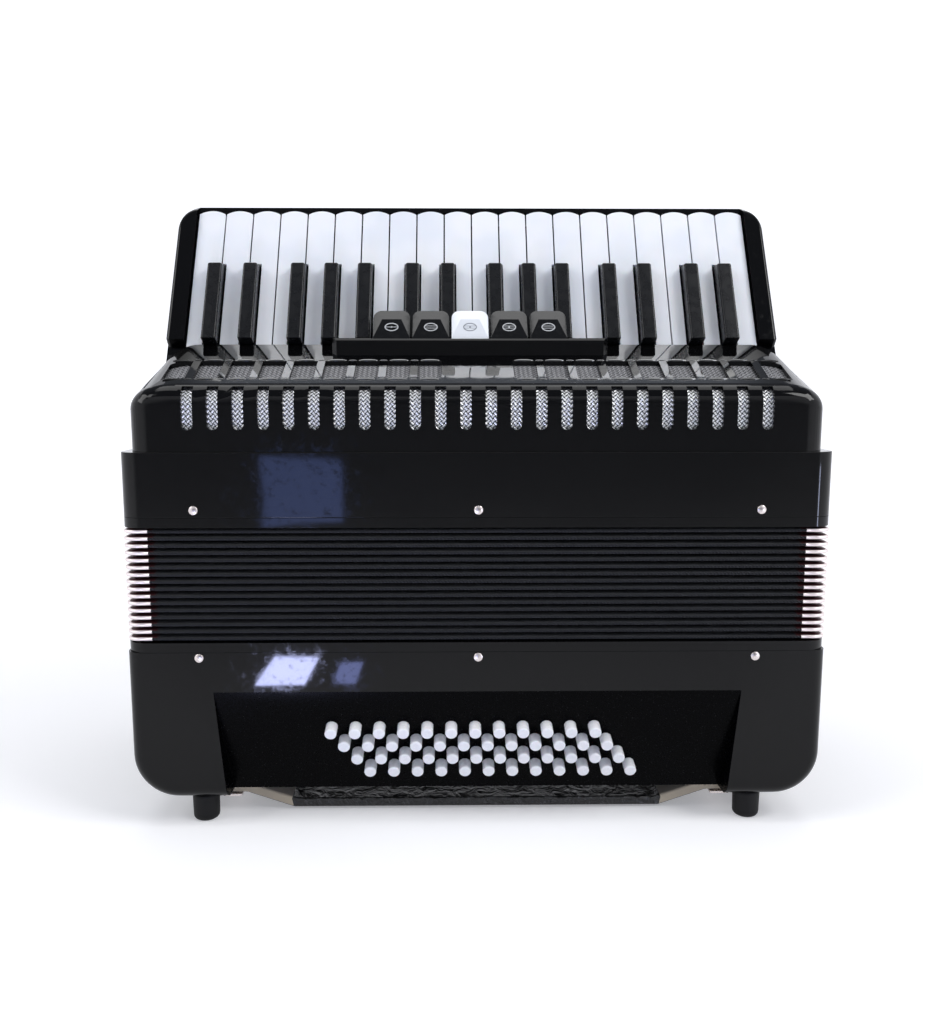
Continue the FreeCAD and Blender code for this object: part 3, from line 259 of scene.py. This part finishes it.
def rubbed(tree, put, place, scale, polished, worn_and_painted_light):
    """Varies the roughness in patches, as handling and dust leave it; scale is per metre."""
    patches = node(tree, "ShaderNodeTexNoise", {"Vector": place, "Scale": scale, "Detail": 4.0})
    put(Roughness=node(tree, "ShaderNodeMapRange", [patches, 0.4, 0.7, polished, worn_and_painted_light],
                       interpolation_type="SMOOTHSTEP"))


def celluloid_material(name, coat):
    """Black sheet, buffed on a wheel: it mirrors the room through a faint waviness of about
    70 mm, and fine scuffs of about 5 mm blur the mirror in places."""
    made, tree, put, place = new_material(name, "#050506", 0.06, IOR=1.5,
                                          Specular_IOR_Level=0.22, Coat_Weight=coat,
                                          Coat_IOR=2.1, Coat_Roughness=0.04)
    wave = node(tree, "ShaderNodeTexNoise", {"Vector": place, "Scale": 14.0, "Detail": 1.0})
    scuff = node(tree, "ShaderNodeTexNoise", {"Vector": place, "Scale": 210.0, "Detail": 8.0,
                                              "Roughness": 0.75})
    put(Roughness=node(tree, "ShaderNodeMapRange", [scuff, 0.48, 0.74, 0.045, 0.2],
                       interpolation_type="SMOOTHSTEP"))
    bump = node(tree, "ShaderNodeBump", {"Height": wave, "Strength": 0.09, "Distance": 0.004})
    put(Normal=bump, Coat_Normal=bump)
    return made


celluloid = celluloid_material("buffed_black_celluloid", 0.0)
# Satin paint in a deeper black than the celluloid, with almost no reflection: painted shade of the
# recess, so the white buttons stand on plain black; its specks are under 2 mm.
recess_shade_black, tree, put, place = new_material("satin_black_recess_shade", "#020203", 0.3,
                                       Specular_IOR_Level=0.04)
rubbed(tree, put, place, 600.0, 0.22, 0.4)
bm = welded_copy("bass_case")
rounded_edges(bm, 0.0016, segments=3)
recess_front, recess_half, recess_foot, recess_head = -0.075, 0.162, 0.018, 0.0865
# painted shade: the recess's slanting floor and walls take the deeper, duller black
for face in bm.faces:
    spot_at, way = face.calc_center_median(), face.normal
    recessed = (spot_at.y < recess_front and abs(spot_at.x) < recess_half
                and recess_foot < spot_at.z < recess_head)
    # the case's upright front and the recess's bottom lip stay glossy
    face.material_index = 1 if recessed and -way.y < 0.975 and way.z < 0.3 else 0
stand_for(mesh_piece("bass_case_shell", bm, celluloid, recess_shade_black), "bass_case")
rounded_copy("bass_end_plate", 0.0006, "black_celluloid", celluloid)

# ---------------------------------------------------------------- bass buttons
# Four rows of turned white plastic buttons on steel rods; the rims are softened by hands.
# Turned plastic is a clean, cool white with a soft highlight, duller where fingers rest.
button_plastic, tree, put, place = new_material(
    "turned_white_plastic", "#f6f7fa", 0.22, IOR=1.49, Subsurface_Weight=0.06,
    Subsurface_Scale=0.002)
rubbed(tree, put, place, 260.0, 0.16, 0.38)
rows = sorted(name for name in frame["nodes"] if name.startswith("bass_button_row"))
for name in rows:
    rounded_copy(name, 0.0009, "button_white", button_plastic, segments=3)


# ---------------------------------------------------------------- hand strap
# A folded black leather band with a tan suede lining, stitched along both edges and screwed
# down at its two ends.
def cut_across(bm, at, way):
    """Adds a line of edges where a plane crosses the mesh."""
    bmesh.ops.bisect_plane(bm, geom=[*bm.verts, *bm.edges, *bm.faces], plane_co=at,
                           plane_no=way, dist=1e-7)


# Grained leather, crumpled where it bends: pebbles of 1 mm under creases of about 9 mm give
# it a broken, greasy shine.
hide, tree, put, place = new_material("black_grain_leather", "#1b1b1a", 0.3)
grain = node(tree, "ShaderNodeTexVoronoi", {"Vector": place, "Scale": 900.0})
crumple = node(tree, "ShaderNodeTexNoise", {"Vector": place, "Scale": 110.0, "Detail": 3.0,
                                            "Distortion": 1.2})
crumpled = node(tree, "ShaderNodeBump", {"Height": crumple, "Strength": 0.8,
                                         "Distance": 0.006})
put(Normal=node(tree, "ShaderNodeBump", {"Height": grain, "Strength": 0.3,
                                         "Distance": 0.0004, "Normal": crumpled}))
# Suede: a dull, velvety tan with a short nap.
suede, tree, put, place = new_material("tan_suede", "#c4b8a3", 0.9, Sheen_Weight=0.4)
nap = node(tree, "ShaderNodeTexNoise", {"Vector": place, "Scale": 700.0, "Detail": 4.0})
put(Normal=node(tree, "ShaderNodeBump", {"Height": nap, "Strength": 0.4, "Distance": 0.0005}))
# Waxed thread: a dark cord with a twist of half a millimetre.
thread, tree, put, place = new_material("waxed_thread", "#3a3833", 0.6)
twist = math.tau / 0.0005
plies = node(tree, "ShaderNodeVectorMath", [place, (twist, twist, 0)], out="Value",
             operation="DOT_PRODUCT")
plies = node(tree, "ShaderNodeMath", [plies], operation="SINE")
put(Normal=node(tree, "ShaderNodeBump", {"Height": plies, "Strength": 0.6,
                                         "Distance": 0.0001}))
lining_start = 0.119
bm = welded_copy("bass_strap")
for end in (-lining_start, lining_start):
    cut_across(bm, (end, 0, 0), (1, 0, 0))
for face in bm.faces:
    lined_end = abs(face.calc_center_median().x) > lining_start + 0.0005
    face.material_index = 1 if lined_end and (face.normal.z > 0.5 or face.normal.y < -0.5) else 0
rounded_edges(bm, 0.0014, sharp=60, segments=3)
stand_for(mesh_piece("bass_strap_band", bm, hide, suede), "bass_strap")

strap_low, strap_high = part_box("bass_strap")
stitch_length, stitch_pitch, stitch_radius = 0.0032, 0.0046, 0.00035
stitch_run, stitch_inset = 0.112, 0.0035
bm = bmesh.new()
for side in (strap_low.y + stitch_inset, strap_high.y - stitch_inset):
    for step in range(round(2 * stitch_run / stitch_pitch) + 1):
        spot_at = Matrix.Translation((-stitch_run + step * stitch_pitch, side, strap_low.z))
        bmesh.ops.create_cone(bm, cap_ends=True, segments=8, radius1=stitch_radius,
                              radius2=stitch_radius, depth=stitch_length,
                              matrix=spot_at @ Matrix.Rotation(math.radians(90), 4, "Y"))
stitches = mesh_piece("strap_stitches", bm, thread)
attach(stitches, "bass_side")

# ---------------------------------------------------------------- feet
# Rubber bumpers, a little wider at the screw plate, with a soft bottom edge. Moulded rubber is
# a dead, slightly dusty black from the 2 mm texture of its mould.
rubber, tree, put, place = new_material("moulded_rubber", "#08080a", 0.55,
                                        Specular_IOR_Level=0.25)
mould = node(tree, "ShaderNodeTexNoise", {"Vector": place, "Scale": 500.0, "Detail": 3.0})
put(Normal=node(tree, "ShaderNodeBump", {"Height": mould, "Strength": 0.15,
                                         "Distance": 0.0003}))
rounded_copy("rubber_feet", 0.0028, "foot_rubber", rubber, sharp=50, segments=4)

# ---------------------------------------------------------------- bellows frames
# Wooden frames wrapped in the same celluloid. The bellows are glued into them, and each
# frame is pinned to its case, so that the instrument can be opened there.
for name in ("bass_bellows_frame", "treble_bellows_frame"):
    rounded_copy(name, 0.0017, "black_celluloid", celluloid, segments=4)


# ---------------------------------------------------------------- bellows
# Sixteen pleats of card covered with ribbed black cloth; leather gussets close the corners
# between the folds, and each fold's corner wears a pressed nickel cap.
def carried(profile, start, runs, radius, close=False, steps=6):
    """Carries an (out, up) profile along straight runs joined by quarter turns to the left.

    The first run goes to +X with the outside at -Y; start is the path's first point."""
    bm = bmesh.new()
    geom = [bm.verts.new((start[0], start[1] - out, up)) for out, up in profile]
    loop = list(zip(geom, geom[1:])) + ([(geom[-1], geom[0])] if close else [])
    wire = [bm.edges.new(pair) for pair in loop]
    way, spot_at = Vector((1, 0, 0)), Vector(start)
    for index, run in enumerate(runs):
        made = bmesh.ops.extrude_edge_only(bm, edges=wire)["geom"]
        verts = [item for item in made if isinstance(item, bmesh.types.BMVert)]
        fresh = set(verts)
        wire = [item for item in made if isinstance(item, bmesh.types.BMEdge)
                and all(v in fresh for v in item.verts)]
        bmesh.ops.translate(bm, verts=verts, vec=way * run)
        spot_at = spot_at + way * run
        if index == len(runs) - 1:
            break
        left = Vector((-way.y, way.x, 0))
        spun = bmesh.ops.spin(bm, geom=verts + wire, cent=spot_at + left * radius,
                              axis=(0, 0, 1), angle=math.pi / 2, steps=steps)["geom_last"]
        wire = [item for item in spun if isinstance(item, bmesh.types.BMEdge)]
        spot_at, way = spot_at + (way + left) * radius, left
    bmesh.ops.remove_doubles(bm, verts=bm.verts, dist=1e-6)
    return bm


def share(piece):
    """Bakes a piece's placement into its mesh."""
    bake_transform(piece)


# Ribbed cloth glued on card: the colour is painted lighter on the slanting cords and darker in the
# hollows between them, painted light and shade over a random fray. The cords are 2.1 mm apart,
# coarse enough to show.
cloth, tree, put, place = new_material("ribbed_bellows_cloth", "#1a1b20", 0.7,
                                       Specular_IOR_Level=0.16, Sheen_Weight=0.12)
rib = math.tau / 0.0021
cord = node(tree, "ShaderNodeVectorMath", [place, (rib, rib, 0.9 * rib)], out="Value",
            operation="DOT_PRODUCT")
cord = node(tree, "ShaderNodeMath", [cord], operation="SINE")
fray = node(tree, "ShaderNodeTexNoise", {"Vector": place, "Scale": 420.0, "Detail": 5.0})
relief = node(tree, "ShaderNodeMath", [fray, 2.2, cord], operation="MULTIPLY_ADD")
# painted light and shade: the relief of cords and fray sets the colour, light on the crests and
# near black in the hollows
worn_and_painted_light = node(tree, "ShaderNodeMapRange", [relief, -0.2, 2.4, 0.0, 1.0],
            interpolation_type="SMOOTHSTEP")
put(Normal=node(tree, "ShaderNodeBump", {"Height": relief, "Strength": 0.75,
                                         "Distance": 0.00035}),
    Base_Color=node(tree, "ShaderNodeMix", {"Factor": worn_and_painted_light, "A": linear("#0a0b0e"),
                                            "B": linear("#1f2126")},
                    out="Result", data_type="RGBA"))
# Thin goatskin: a dull dark red with fine creases 3 mm apart.
gusset, tree, put, place = new_material("red_gusset_leather", "#3c1216", 0.6)
crease = node(tree, "ShaderNodeTexNoise", {"Vector": place, "Scale": 300.0, "Detail": 4.0})
put(Normal=node(tree, "ShaderNodeBump", {"Height": crease, "Strength": 0.3,
                                         "Distance": 0.0005}))
# Nickel plate on steel: a warm grey mirror under a thin haze.
nickel, tree, put, place = new_material("nickel_plate", "#d6cdca", 0.3, Metallic=1.0)
rubbed(tree, put, place, 350.0, 0.22, 0.42)
# Nickel pressed over the corners, dulled by handling; a share of white diffuse colour, painted
# shine standing in for reflected light, keeps it brighter and flatter than the pins.
caps_nickel_painted_shine, tree, put, place = new_material("pressed_nickel_caps", "#ece1df", 0.45,
                                              Metallic=0.7)
rubbed(tree, put, place, 500.0, 0.36, 0.56)

low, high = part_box("bellows")
middle = (low + high) / 2
skin = 0.0003
half_x, half_y = high.x - middle.x - skin, high.y - middle.y - skin
fold_count, fold_corner, pleat_depth = 16, 0.007, 0.016
pitch = (high.z - low.z) / fold_count
cap_leg, cap_half, gusset_reach = 0.0085, 0.001, 0.003
# one pleat from valley over ridge to valley: how far out from the ridge, share of the pitch
pleat = [(-pleat_depth, 0.0), (-0.0042, 0.14), (-0.0016, 0.25), (-0.0006, 0.33),
         (-0.0001, 0.42), (0.0, 0.5), (-0.0001, 0.58), (-0.0006, 0.67),
         (-0.0016, 0.75), (-0.0042, 0.86), (-pleat_depth, 1.0)]
cap_profile = [(-0.0026, -cap_half), (-0.0004, -cap_half), (0.0001, -0.75 * cap_half),
               (0.00028, 0), (0.0001, 0.75 * cap_half), (-0.0004, cap_half),
               (-0.0026, cap_half)]
corner_reach = fold_corner + cap_leg + gusset_reach
side_x, side_y = 2 * (half_x - fold_corner), 2 * (half_y - fold_corner)
for fold in range(fold_count):
    base = low.z + fold * pitch
    bm = carried([(out, base + share_up * pitch) for out, share_up in pleat],
                 (middle.x, middle.y - half_y, 0),
                 (side_x / 2, side_y, side_x, side_y, side_x / 2), fold_corner)
    # the long runs are cut near the corners, where the cloth gives way to the gussets
    for axis, half in (((1, 0, 0), half_x), ((0, 1, 0), half_y)):
        for sign in (-1, 1):
            cut_across(bm, middle + Vector(axis) * sign * (half - corner_reach), axis)
    bmesh.ops.recalc_face_normals(bm, faces=bm.faces)
    for face in bm.faces:
        spot_at = face.calc_center_median() - middle
        inward = half_x - abs(spot_at.x), half_y - abs(spot_at.y)
        in_corner = max(inward) < corner_reach and min(inward) > 0.0008
        face.material_index = 1 if in_corner else 0
    cloth_fold = mesh_piece(f"bellows_fold_{fold + 1}", bm, cloth, gusset)
    share(cloth_fold)
    if fold == 0:
        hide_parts("bellows")

    ridge = base + pitch / 2
    bm = carried([(out, ridge + up) for out, up in cap_profile],
                 (middle.x + half_x - fold_corner - cap_leg, middle.y - half_y, 0),
                 (cap_leg, cap_leg), fold_corner, close=True)
    bmesh.ops.holes_fill(bm, edges=bm.edges, sides=0)
    for axis in ("X", "Y"):
        bmesh.ops.mirror(bm, geom=[*bm.verts, *bm.edges, *bm.faces], axis=axis,
                         matrix=Matrix.Translation(-Vector((middle.x, middle.y, 0))),
                         merge_dist=0)
    bmesh.ops.recalc_face_normals(bm, faces=bm.faces)
    caps = mesh_piece(f"corner_caps_{fold + 1}", bm, caps_nickel_painted_shine)
    share(caps)

# ---------------------------------------------------------------- treble case
# The right-hand box: poplar again, covered and buffed like the other one. Its board carries
# the keys' pallets.
rounded_copy("treble_case", 0.002, "black_celluloid", celluloid, segments=4)

# ---------------------------------------------------------------- grille cover
# A moulded cover with drooping shoulders; its sloping top is lacquered to a deeper shine, and
# lens-shaped beads stand at the front and back of every window.
cover_low, cover_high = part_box("treble_cover")
cover_half = (cover_high.x - cover_low.x) / 2
shoulder_run, cad_round = 0.03, 0.013


def circle_fall(along, run):
    """The fall of a quarter circle of radius 1, along from its start; none before that."""
    share_run = min(1.0, max(0.0, along / run))
    return 1 - math.sqrt(1 - share_run * share_run)


def shoulder_fall(y):
    """How far the cover's end drops: more at the back, beside the keys, than in front."""
    return 0.017 + 0.019 * (y - cover_low.y) / (cover_high.y - cover_low.y)


def droop(bm):
    """Rolls the two ends of a cover-like shape down to soft shoulders."""
    stations = 15
    for station in range(stations):
        turned = math.sin(math.pi / 2 * station / stations)
        for sign in (-1, 1):
            cut_across(bm, (sign * (cover_half - shoulder_run + shoulder_run * turned), 0, 0),
                       (1, 0, 0))
    for vert in bm.verts:
        beyond = abs(vert.co.x) - cover_half
        drop = shoulder_fall(vert.co.y) * circle_fall(beyond + shoulder_run, shoulder_run)
        # the CAD's own end rounding has already dropped this much
        drop -= cad_round * circle_fall(beyond + cad_round, cad_round)
        vert.co.z -= max(0.0, drop) * min(1.0, (vert.co.z - cover_low.z)
                                          / (cover_high.z - cover_low.z))


# Lacquer over the celluloid: a clear mirror of the keys that fades out over the shoulders.
lacquer = celluloid_material("lacquered_cover_top", 1.0)
tree = lacquer.node_tree
place = tree.nodes["Texture Coordinate"].outputs["Object"]
aside = node(tree, "ShaderNodeSeparateXYZ", [place])
aside = node(tree, "ShaderNodeMath", [aside], operation="ABSOLUTE")
coat = node(tree, "ShaderNodeMapRange",
            [aside, cover_half - 0.07, cover_half - 0.02, 1.0, 0.0],
            interpolation_type="SMOOTHSTEP")
tree.links.new(coat, tree.nodes["Principled BSDF"].inputs["Coat Weight"])
cover_slope = math.radians(24.6)
# it covers what faces up within 25 degrees of level, above the front lip, between the ends
top_facing, lip_height, end_margin = 0.903, 0.27, 0.019
bm = welded_copy("treble_cover")
rounded_edges(bm, 0.0006)
droop(bm)
for face in bm.faces:
    spot_at = face.calc_center_median()
    on_top = (face.normal.z > top_facing and spot_at.z > lip_height
              and abs(spot_at.x) < cover_half - end_margin)
    face.material_index = 1 if on_top else 0
stand_for(mesh_piece("treble_cover_shell", bm, celluloid, lacquer), "treble_cover")

window_edges = (-0.0807, -0.0559)
window_pitch, window_first, window_count = 0.0192, 0.0292, 9
long_bead, short_bead = (0.0062, 0.0013, 0.0009), (0.0026, 0.0007, 0.0005)
bm = bmesh.new()
for edge_y in window_edges:
    for side in (-1, 1):
        for number in range(2 * window_count - 1):
            # a long bead at the middle of each window, a short one between two windows
            bead = short_bead if number % 2 else long_bead
            x = side * (window_first + number * window_pitch / 2)
            z = cover_high.z - (cover_high.y - edge_y) * math.tan(cover_slope)
            z -= shoulder_fall(edge_y) * circle_fall(abs(x) - cover_half + shoulder_run,
                                                     shoulder_run)
            spot_at = (Matrix.Translation((x, edge_y, z - 0.0001))
                       @ Matrix.Rotation(cover_slope, 4, "X")
                       @ Matrix.Diagonal((*bead, 1)))
            bmesh.ops.create_uvsphere(bm, u_segments=20, v_segments=8, radius=1, matrix=spot_at)
beads = mesh_piece("window_beads", bm, lacquer)
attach(beads, "treble_side")


# ---------------------------------------------------------------- grille lining
# A sheet of silver cloth woven from twisted metal thread, stretched behind the openings. It is
# bright in the front slots and a darker, duller grey where it faces up under the sloping top.
def woven_material(name, gap_shade, crown, metallic):
    """Twisted strands that cross over and under: silver crowns on a near-black ground, where the
    darkening down the strands and into the gaps is painted shade. They are 2.9 mm apart, coarse
    enough to show."""
    made, tree, put, place = new_material(name, crown, 0.34, Metallic=metallic)
    strand, rise = 0.0029, 0.64
    ridges, cells = [], []
    for sign in (1, -1):
        count = node(tree, "ShaderNodeVectorMath",
                     [place, (1 / strand, sign * rise / strand, sign / strand)], out="Value",
                     operation="DOT_PRODUCT")
        cells.append(node(tree, "ShaderNodeMath", [count], operation="FLOOR"))
        ridge = node(tree, "ShaderNodeMath", [count, math.pi], operation="MULTIPLY")
        ridge = node(tree, "ShaderNodeMath", [ridge], operation="SINE")
        ridges.append(node(tree, "ShaderNodeMath", [ridge], operation="ABSOLUTE"))
    over = node(tree, "ShaderNodeMath", cells, operation="ADD")
    over = node(tree, "ShaderNodeMath", [over, 2.0], operation="MODULO")
    over = node(tree, "ShaderNodeMath", [over], operation="ABSOLUTE")
    height = node(tree, "ShaderNodeMix", {"Factor": over, "A": ridges[0], "B": ridges[1]},
                  out="Result", data_type="FLOAT")
    # painted shade: the colour falls from the crown's silver to the gap's black down each strand
    raised = node(tree, "ShaderNodeMapRange", [height, 0.3, 0.85, 0.0, 1.0],
                  interpolation_type="SMOOTHSTEP")
    put(Base_Color=node(tree, "ShaderNodeMix", {"Factor": raised, "A": linear(gap_shade),
                                                "B": linear(crown)},
                        out="Result", data_type="RGBA"),
        Normal=node(tree, "ShaderNodeBump", {"Height": height, "Strength": 0.8,
                                             "Distance": 0.0008}))
    return made


weave = woven_material("woven_silver_thread", "#0c0c0e", "#ffffff", 0.55)
upturned_weave = woven_material("greyer_silver_thread", "#1c1c1e", "#8f8f93", 0.3)
bm = welded_copy("grille_mesh")
droop(bm)
for face in bm.faces:
    # the faces that look up, under the sloping top, take the darker, duller copy of the weave
    face.material_index = 1 if abs(face.normal.z) > 0.8 else 0
stand_for(mesh_piece("grille_cloth", bm, weave, upturned_weave), "grille_mesh")

# ---------------------------------------------------------------- keyboard
# White keys are capped with cast white plastic whose tips are rounded; the black keys are
# satin phenolic with bevelled flanks; the frame is celluloid like the cases.
# Cast plastic: a cool white, uneven by a shade over 50 mm, with a shine that fingers dull.
ivory, tree, put, place = new_material("white_key_plastic", "#e6eaf1", 0.16, IOR=1.49,
                                       Subsurface_Weight=0.05, Subsurface_Scale=0.003)
tint = node(tree, "ShaderNodeTexNoise", {"Vector": place, "Scale": 22.0, "Detail": 2.0})
tint = node(tree, "ShaderNodeMapRange", [tint, 0.35, 0.65, 0.0, 1.0],
            interpolation_type="SMOOTHSTEP")
put(Base_Color=node(tree, "ShaderNodeMix", {"Factor": tint, "A": linear("#dfe3ea"),
                                            "B": linear("#e9ebef")},
                    out="Result", data_type="RGBA"))
rubbed(tree, put, place, 160.0, 0.13, 0.26)
# Phenolic, sanded and polished by hand: black with a broad, soft highlight.
ebony, tree, put, place = new_material("black_key_phenolic", "#0c0d10", 0.3, IOR=1.45,
                                       Specular_IOR_Level=0.35)
rubbed(tree, put, place, 180.0, 0.27, 0.33)
rounded_copy("keyboard_frame", 0.0015, "black_celluloid", celluloid, segments=3)
for name in sorted(frame["nodes"]):
    if name.startswith("key_"):
        sharp_key = name.endswith("_sharp")
        rounded_copy(name, 0.0005, "black_key_plastic" if sharp_key else "white_key_plastic",
                     ebony if sharp_key else ivory)

# ---------------------------------------------------------------- registers
# A black bar with five rocking tabs: each has a flat lower face with an engraved and filled
# mark, and sloping upper facets; the middle tab is white.
rounded_copy("register_housing", 0.0005, "black_celluloid", celluloid)
# Moulded plastic: hard and glossy, with fine rubs of about 3 mm where thumbs press it.
tab_black, tree, put, place = new_material("black_tab_plastic", "#070708", 0.1)
rubbed(tree, put, place, 300.0, 0.09, 0.22)
tab_white, tree, put, place = new_material("white_tab_plastic", "#e2e6ec", 0.18)
rubbed(tree, put, place, 300.0, 0.12, 0.26)
# Filler paint, wiped into the engraving: flat and a little chalky.
mark_grey, tree, put, place = new_material("grey_mark_filler", "#b4b6b8", 0.5)
rubbed(tree, put, place, 900.0, 0.4, 0.65)
mark_dark, tree, put, place = new_material("dark_mark_filler", "#8b8f96", 0.5)
rubbed(tree, put, place, 900.0, 0.4, 0.65)
tab_names = sorted(name for name in frame["nodes"] if name.startswith("register_tab"))
tab_half, tab_foot, tab_face, tab_shoulder, tab_top = 0.0117, -0.0016, 0.0042, 0.0178, 0.0252
tab_back, tab_rim, tab_front = -0.0012, -0.0007, 0.0012
shoulder_half, tab_corner = 0.0061, 0.0052
lean = math.radians(28)
joint_at = {joint["child"]: joint["pos_m"] for joint in frame["record"]["behaviour"]["joints"]
            if "pos_m" in joint}
ring_long, ring_wide, ring_line, mark_up, mark_rise = 0.0044, 0.0030, 0.0007, 0.0122, 0.00008
# the heights of the bars, as a share of the ring's inside, and the places of the dots
marks = (((0.0,), (0.0,)), ((0.33, -0.33), ()), ((0.33, -0.33), (0.0,)),
         ((0.33, -0.33), (0.0,)), ((0.33, -0.33), ()))
for index, name in enumerate(tab_names):
    low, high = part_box(name)
    pivot = joint_at[name]
    stand = (Matrix.Translation(((low.x + high.x) / 2, pivot[1], pivot[2]))
             @ Matrix.Rotation(math.radians(90) - lean, 4, "X"))
    # a plate with two round corners, and the six corners of the raised face, hulled together
    bm = bmesh.new()
    plate = [bm.verts.new((side * tab_half, up, tab_back))
             for side, up in ((-1, tab_foot), (1, tab_foot), (1, tab_top), (-1, tab_top))]
    bm.faces.new(plate)
    bmesh.ops.bevel(bm, geom=plate[2:], offset=tab_corner, offset_type="OFFSET", segments=6,
                    profile=0.5, affect="VERTICES", clamp_overlap=True, material=-1)
    rim = bmesh.ops.extrude_face_region(bm, geom=bm.faces[:])["geom"]
    bmesh.ops.translate(bm, vec=(0, 0, tab_rim - tab_back),
                        verts=[item for item in rim if isinstance(item, bmesh.types.BMVert)])
    bmesh.ops.delete(bm, geom=bm.edges[:], context="EDGES_FACES")
    for half, up in ((tab_half, tab_foot), (tab_half, tab_face), (shoulder_half, tab_shoulder)):
        for side in (-1, 1):
            bm.verts.new((side * half, up, tab_front))
    hull = bmesh.ops.convex_hull(bm, input=bm.verts)
    spare = set(hull["geom_unused"]) | set(hull["geom_interior"])
    bmesh.ops.delete(bm, geom=[item for item in spare if isinstance(item, bmesh.types.BMVert)],
                     context="VERTS")
    bmesh.ops.dissolve_limit(bm, angle_limit=math.radians(1), verts=bm.verts, edges=bm.edges)
    rounded_edges(bm, 0.0003, sharp=8)
    bmesh.ops.transform(bm, matrix=stand, verts=bm.verts)
    white_tab = index == 2
    stand_for(mesh_piece(f"{name}_rocker", bm, tab_white if white_tab else tab_black), name)

    # the mark: an oval ring with bars and a dot for the reed ranks that the tab opens
    bm = bmesh.new()
    ring = bmesh.ops.create_circle(bm, segments=40, radius=1)["verts"]
    edges = list({edge for vert in ring for edge in vert.link_edges})
    inner = bmesh.ops.extrude_edge_only(bm, edges=edges)["geom"]
    inner = [item for item in inner if isinstance(item, bmesh.types.BMVert)]
    inner_long, inner_wide = ring_long - ring_line, ring_wide - ring_line
    bmesh.ops.scale(bm, vec=(ring_long, ring_wide, 1), verts=ring)
    bmesh.ops.scale(bm, vec=(inner_long, inner_wide, 1), verts=inner)
    bars, dots = marks[index]
    for bar in bars:
        bar_half = inner_long * math.sqrt(1 - bar * bar)
        bmesh.ops.create_grid(bm, x_segments=1, y_segments=1, size=1, matrix=(
            Matrix.Translation((0, bar * inner_wide, 0))
            @ Matrix.Diagonal((bar_half, 0.0002, 1, 1))))
    for dot in dots:
        bmesh.ops.create_circle(bm, cap_ends=True, segments=16, radius=0.0006,
                                matrix=Matrix.Translation((0, dot, 0)))
    raised = bmesh.ops.extrude_face_region(bm, geom=bm.faces)["geom"]
    bmesh.ops.translate(bm, vec=(0, 0, mark_rise),
                        verts=[item for item in raised if isinstance(item, bmesh.types.BMVert)])
    bmesh.ops.recalc_face_normals(bm, faces=bm.faces)
    bmesh.ops.transform(bm, matrix=stand @ Matrix.Translation((0, mark_up, tab_front - 3e-5)),
                        verts=bm.verts)
    mark = mesh_piece(f"{name}_mark", bm, mark_dark if white_tab else mark_grey, smooth=False)
    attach(mark, name)

# ---------------------------------------------------------------- metal fittings
# Bellows pins, strap lugs, clamps and axles of nickel-plated steel, and the air button. The
# pins' heads are turned to a low dome.
button_head, button_clearance = 0.003, 0.0001
pin_least, pin_most = 1.6e-5, 2.4e-5
dome_rings = ((0.0006, 0.00028), (0.0008, 0.0002), (0.0007, 0.00008))
for name in ("treble_metalwork", "bass_metalwork", "air_button"):
    bm = welded_copy(name)
    rounded_edges(bm, 0.0003, only_outer=True)
    if name == "air_button":
        # the head stops a hair short of the plate when it is pressed home
        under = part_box(name)[0].z + button_head
        bmesh.ops.translate(bm, vec=(0, 0, -button_clearance),
                            verts=[v for v in bm.verts if abs(v.co.z - under) < 2e-5])
    # a pin's flat end is a round face of about 20 square millimetres that looks to +Y or -Y
    heads = [face for face in bm.faces if abs(face.normal.y) > 0.9 and len(face.verts) > 24
             and pin_least < face.calc_area() < pin_most]
    for thickness, depth in dome_rings:
        bmesh.ops.inset_individual(bm, faces=heads, thickness=thickness, depth=depth)
    stand_for(mesh_piece(f"{name}_plated", bm, nickel), name)

# ---------------------------------------------------------------- reed blocks
# Blocks inside the cases, seen only when a cover is off. Planed spruce is a pale brown with
# straight dark grain about 4 mm apart along its length.
spruce, tree, put, place = new_material("planed_spruce", "#b58f5e", 0.6)
along = node(tree, "ShaderNodeMapping", {"Vector": place, "Scale": (12.0, 260.0, 260.0)})
rings = node(tree, "ShaderNodeTexNoise", {"Vector": along, "Scale": 1.0, "Detail": 3.0})
rings = node(tree, "ShaderNodeMapRange", [rings, 0.4, 0.62, 0.0, 1.0],
             interpolation_type="SMOOTHSTEP")
put(Base_Color=node(tree, "ShaderNodeMix", {"Factor": rings, "A": linear("#c9a774"),
                                            "B": linear("#a37d4c")},
                    out="Result", data_type="RGBA"))
for name in ("treble_reed_block", "bass_reed_block"):
    rounded_copy(name, 0.0005, "reed_wood", spruce)
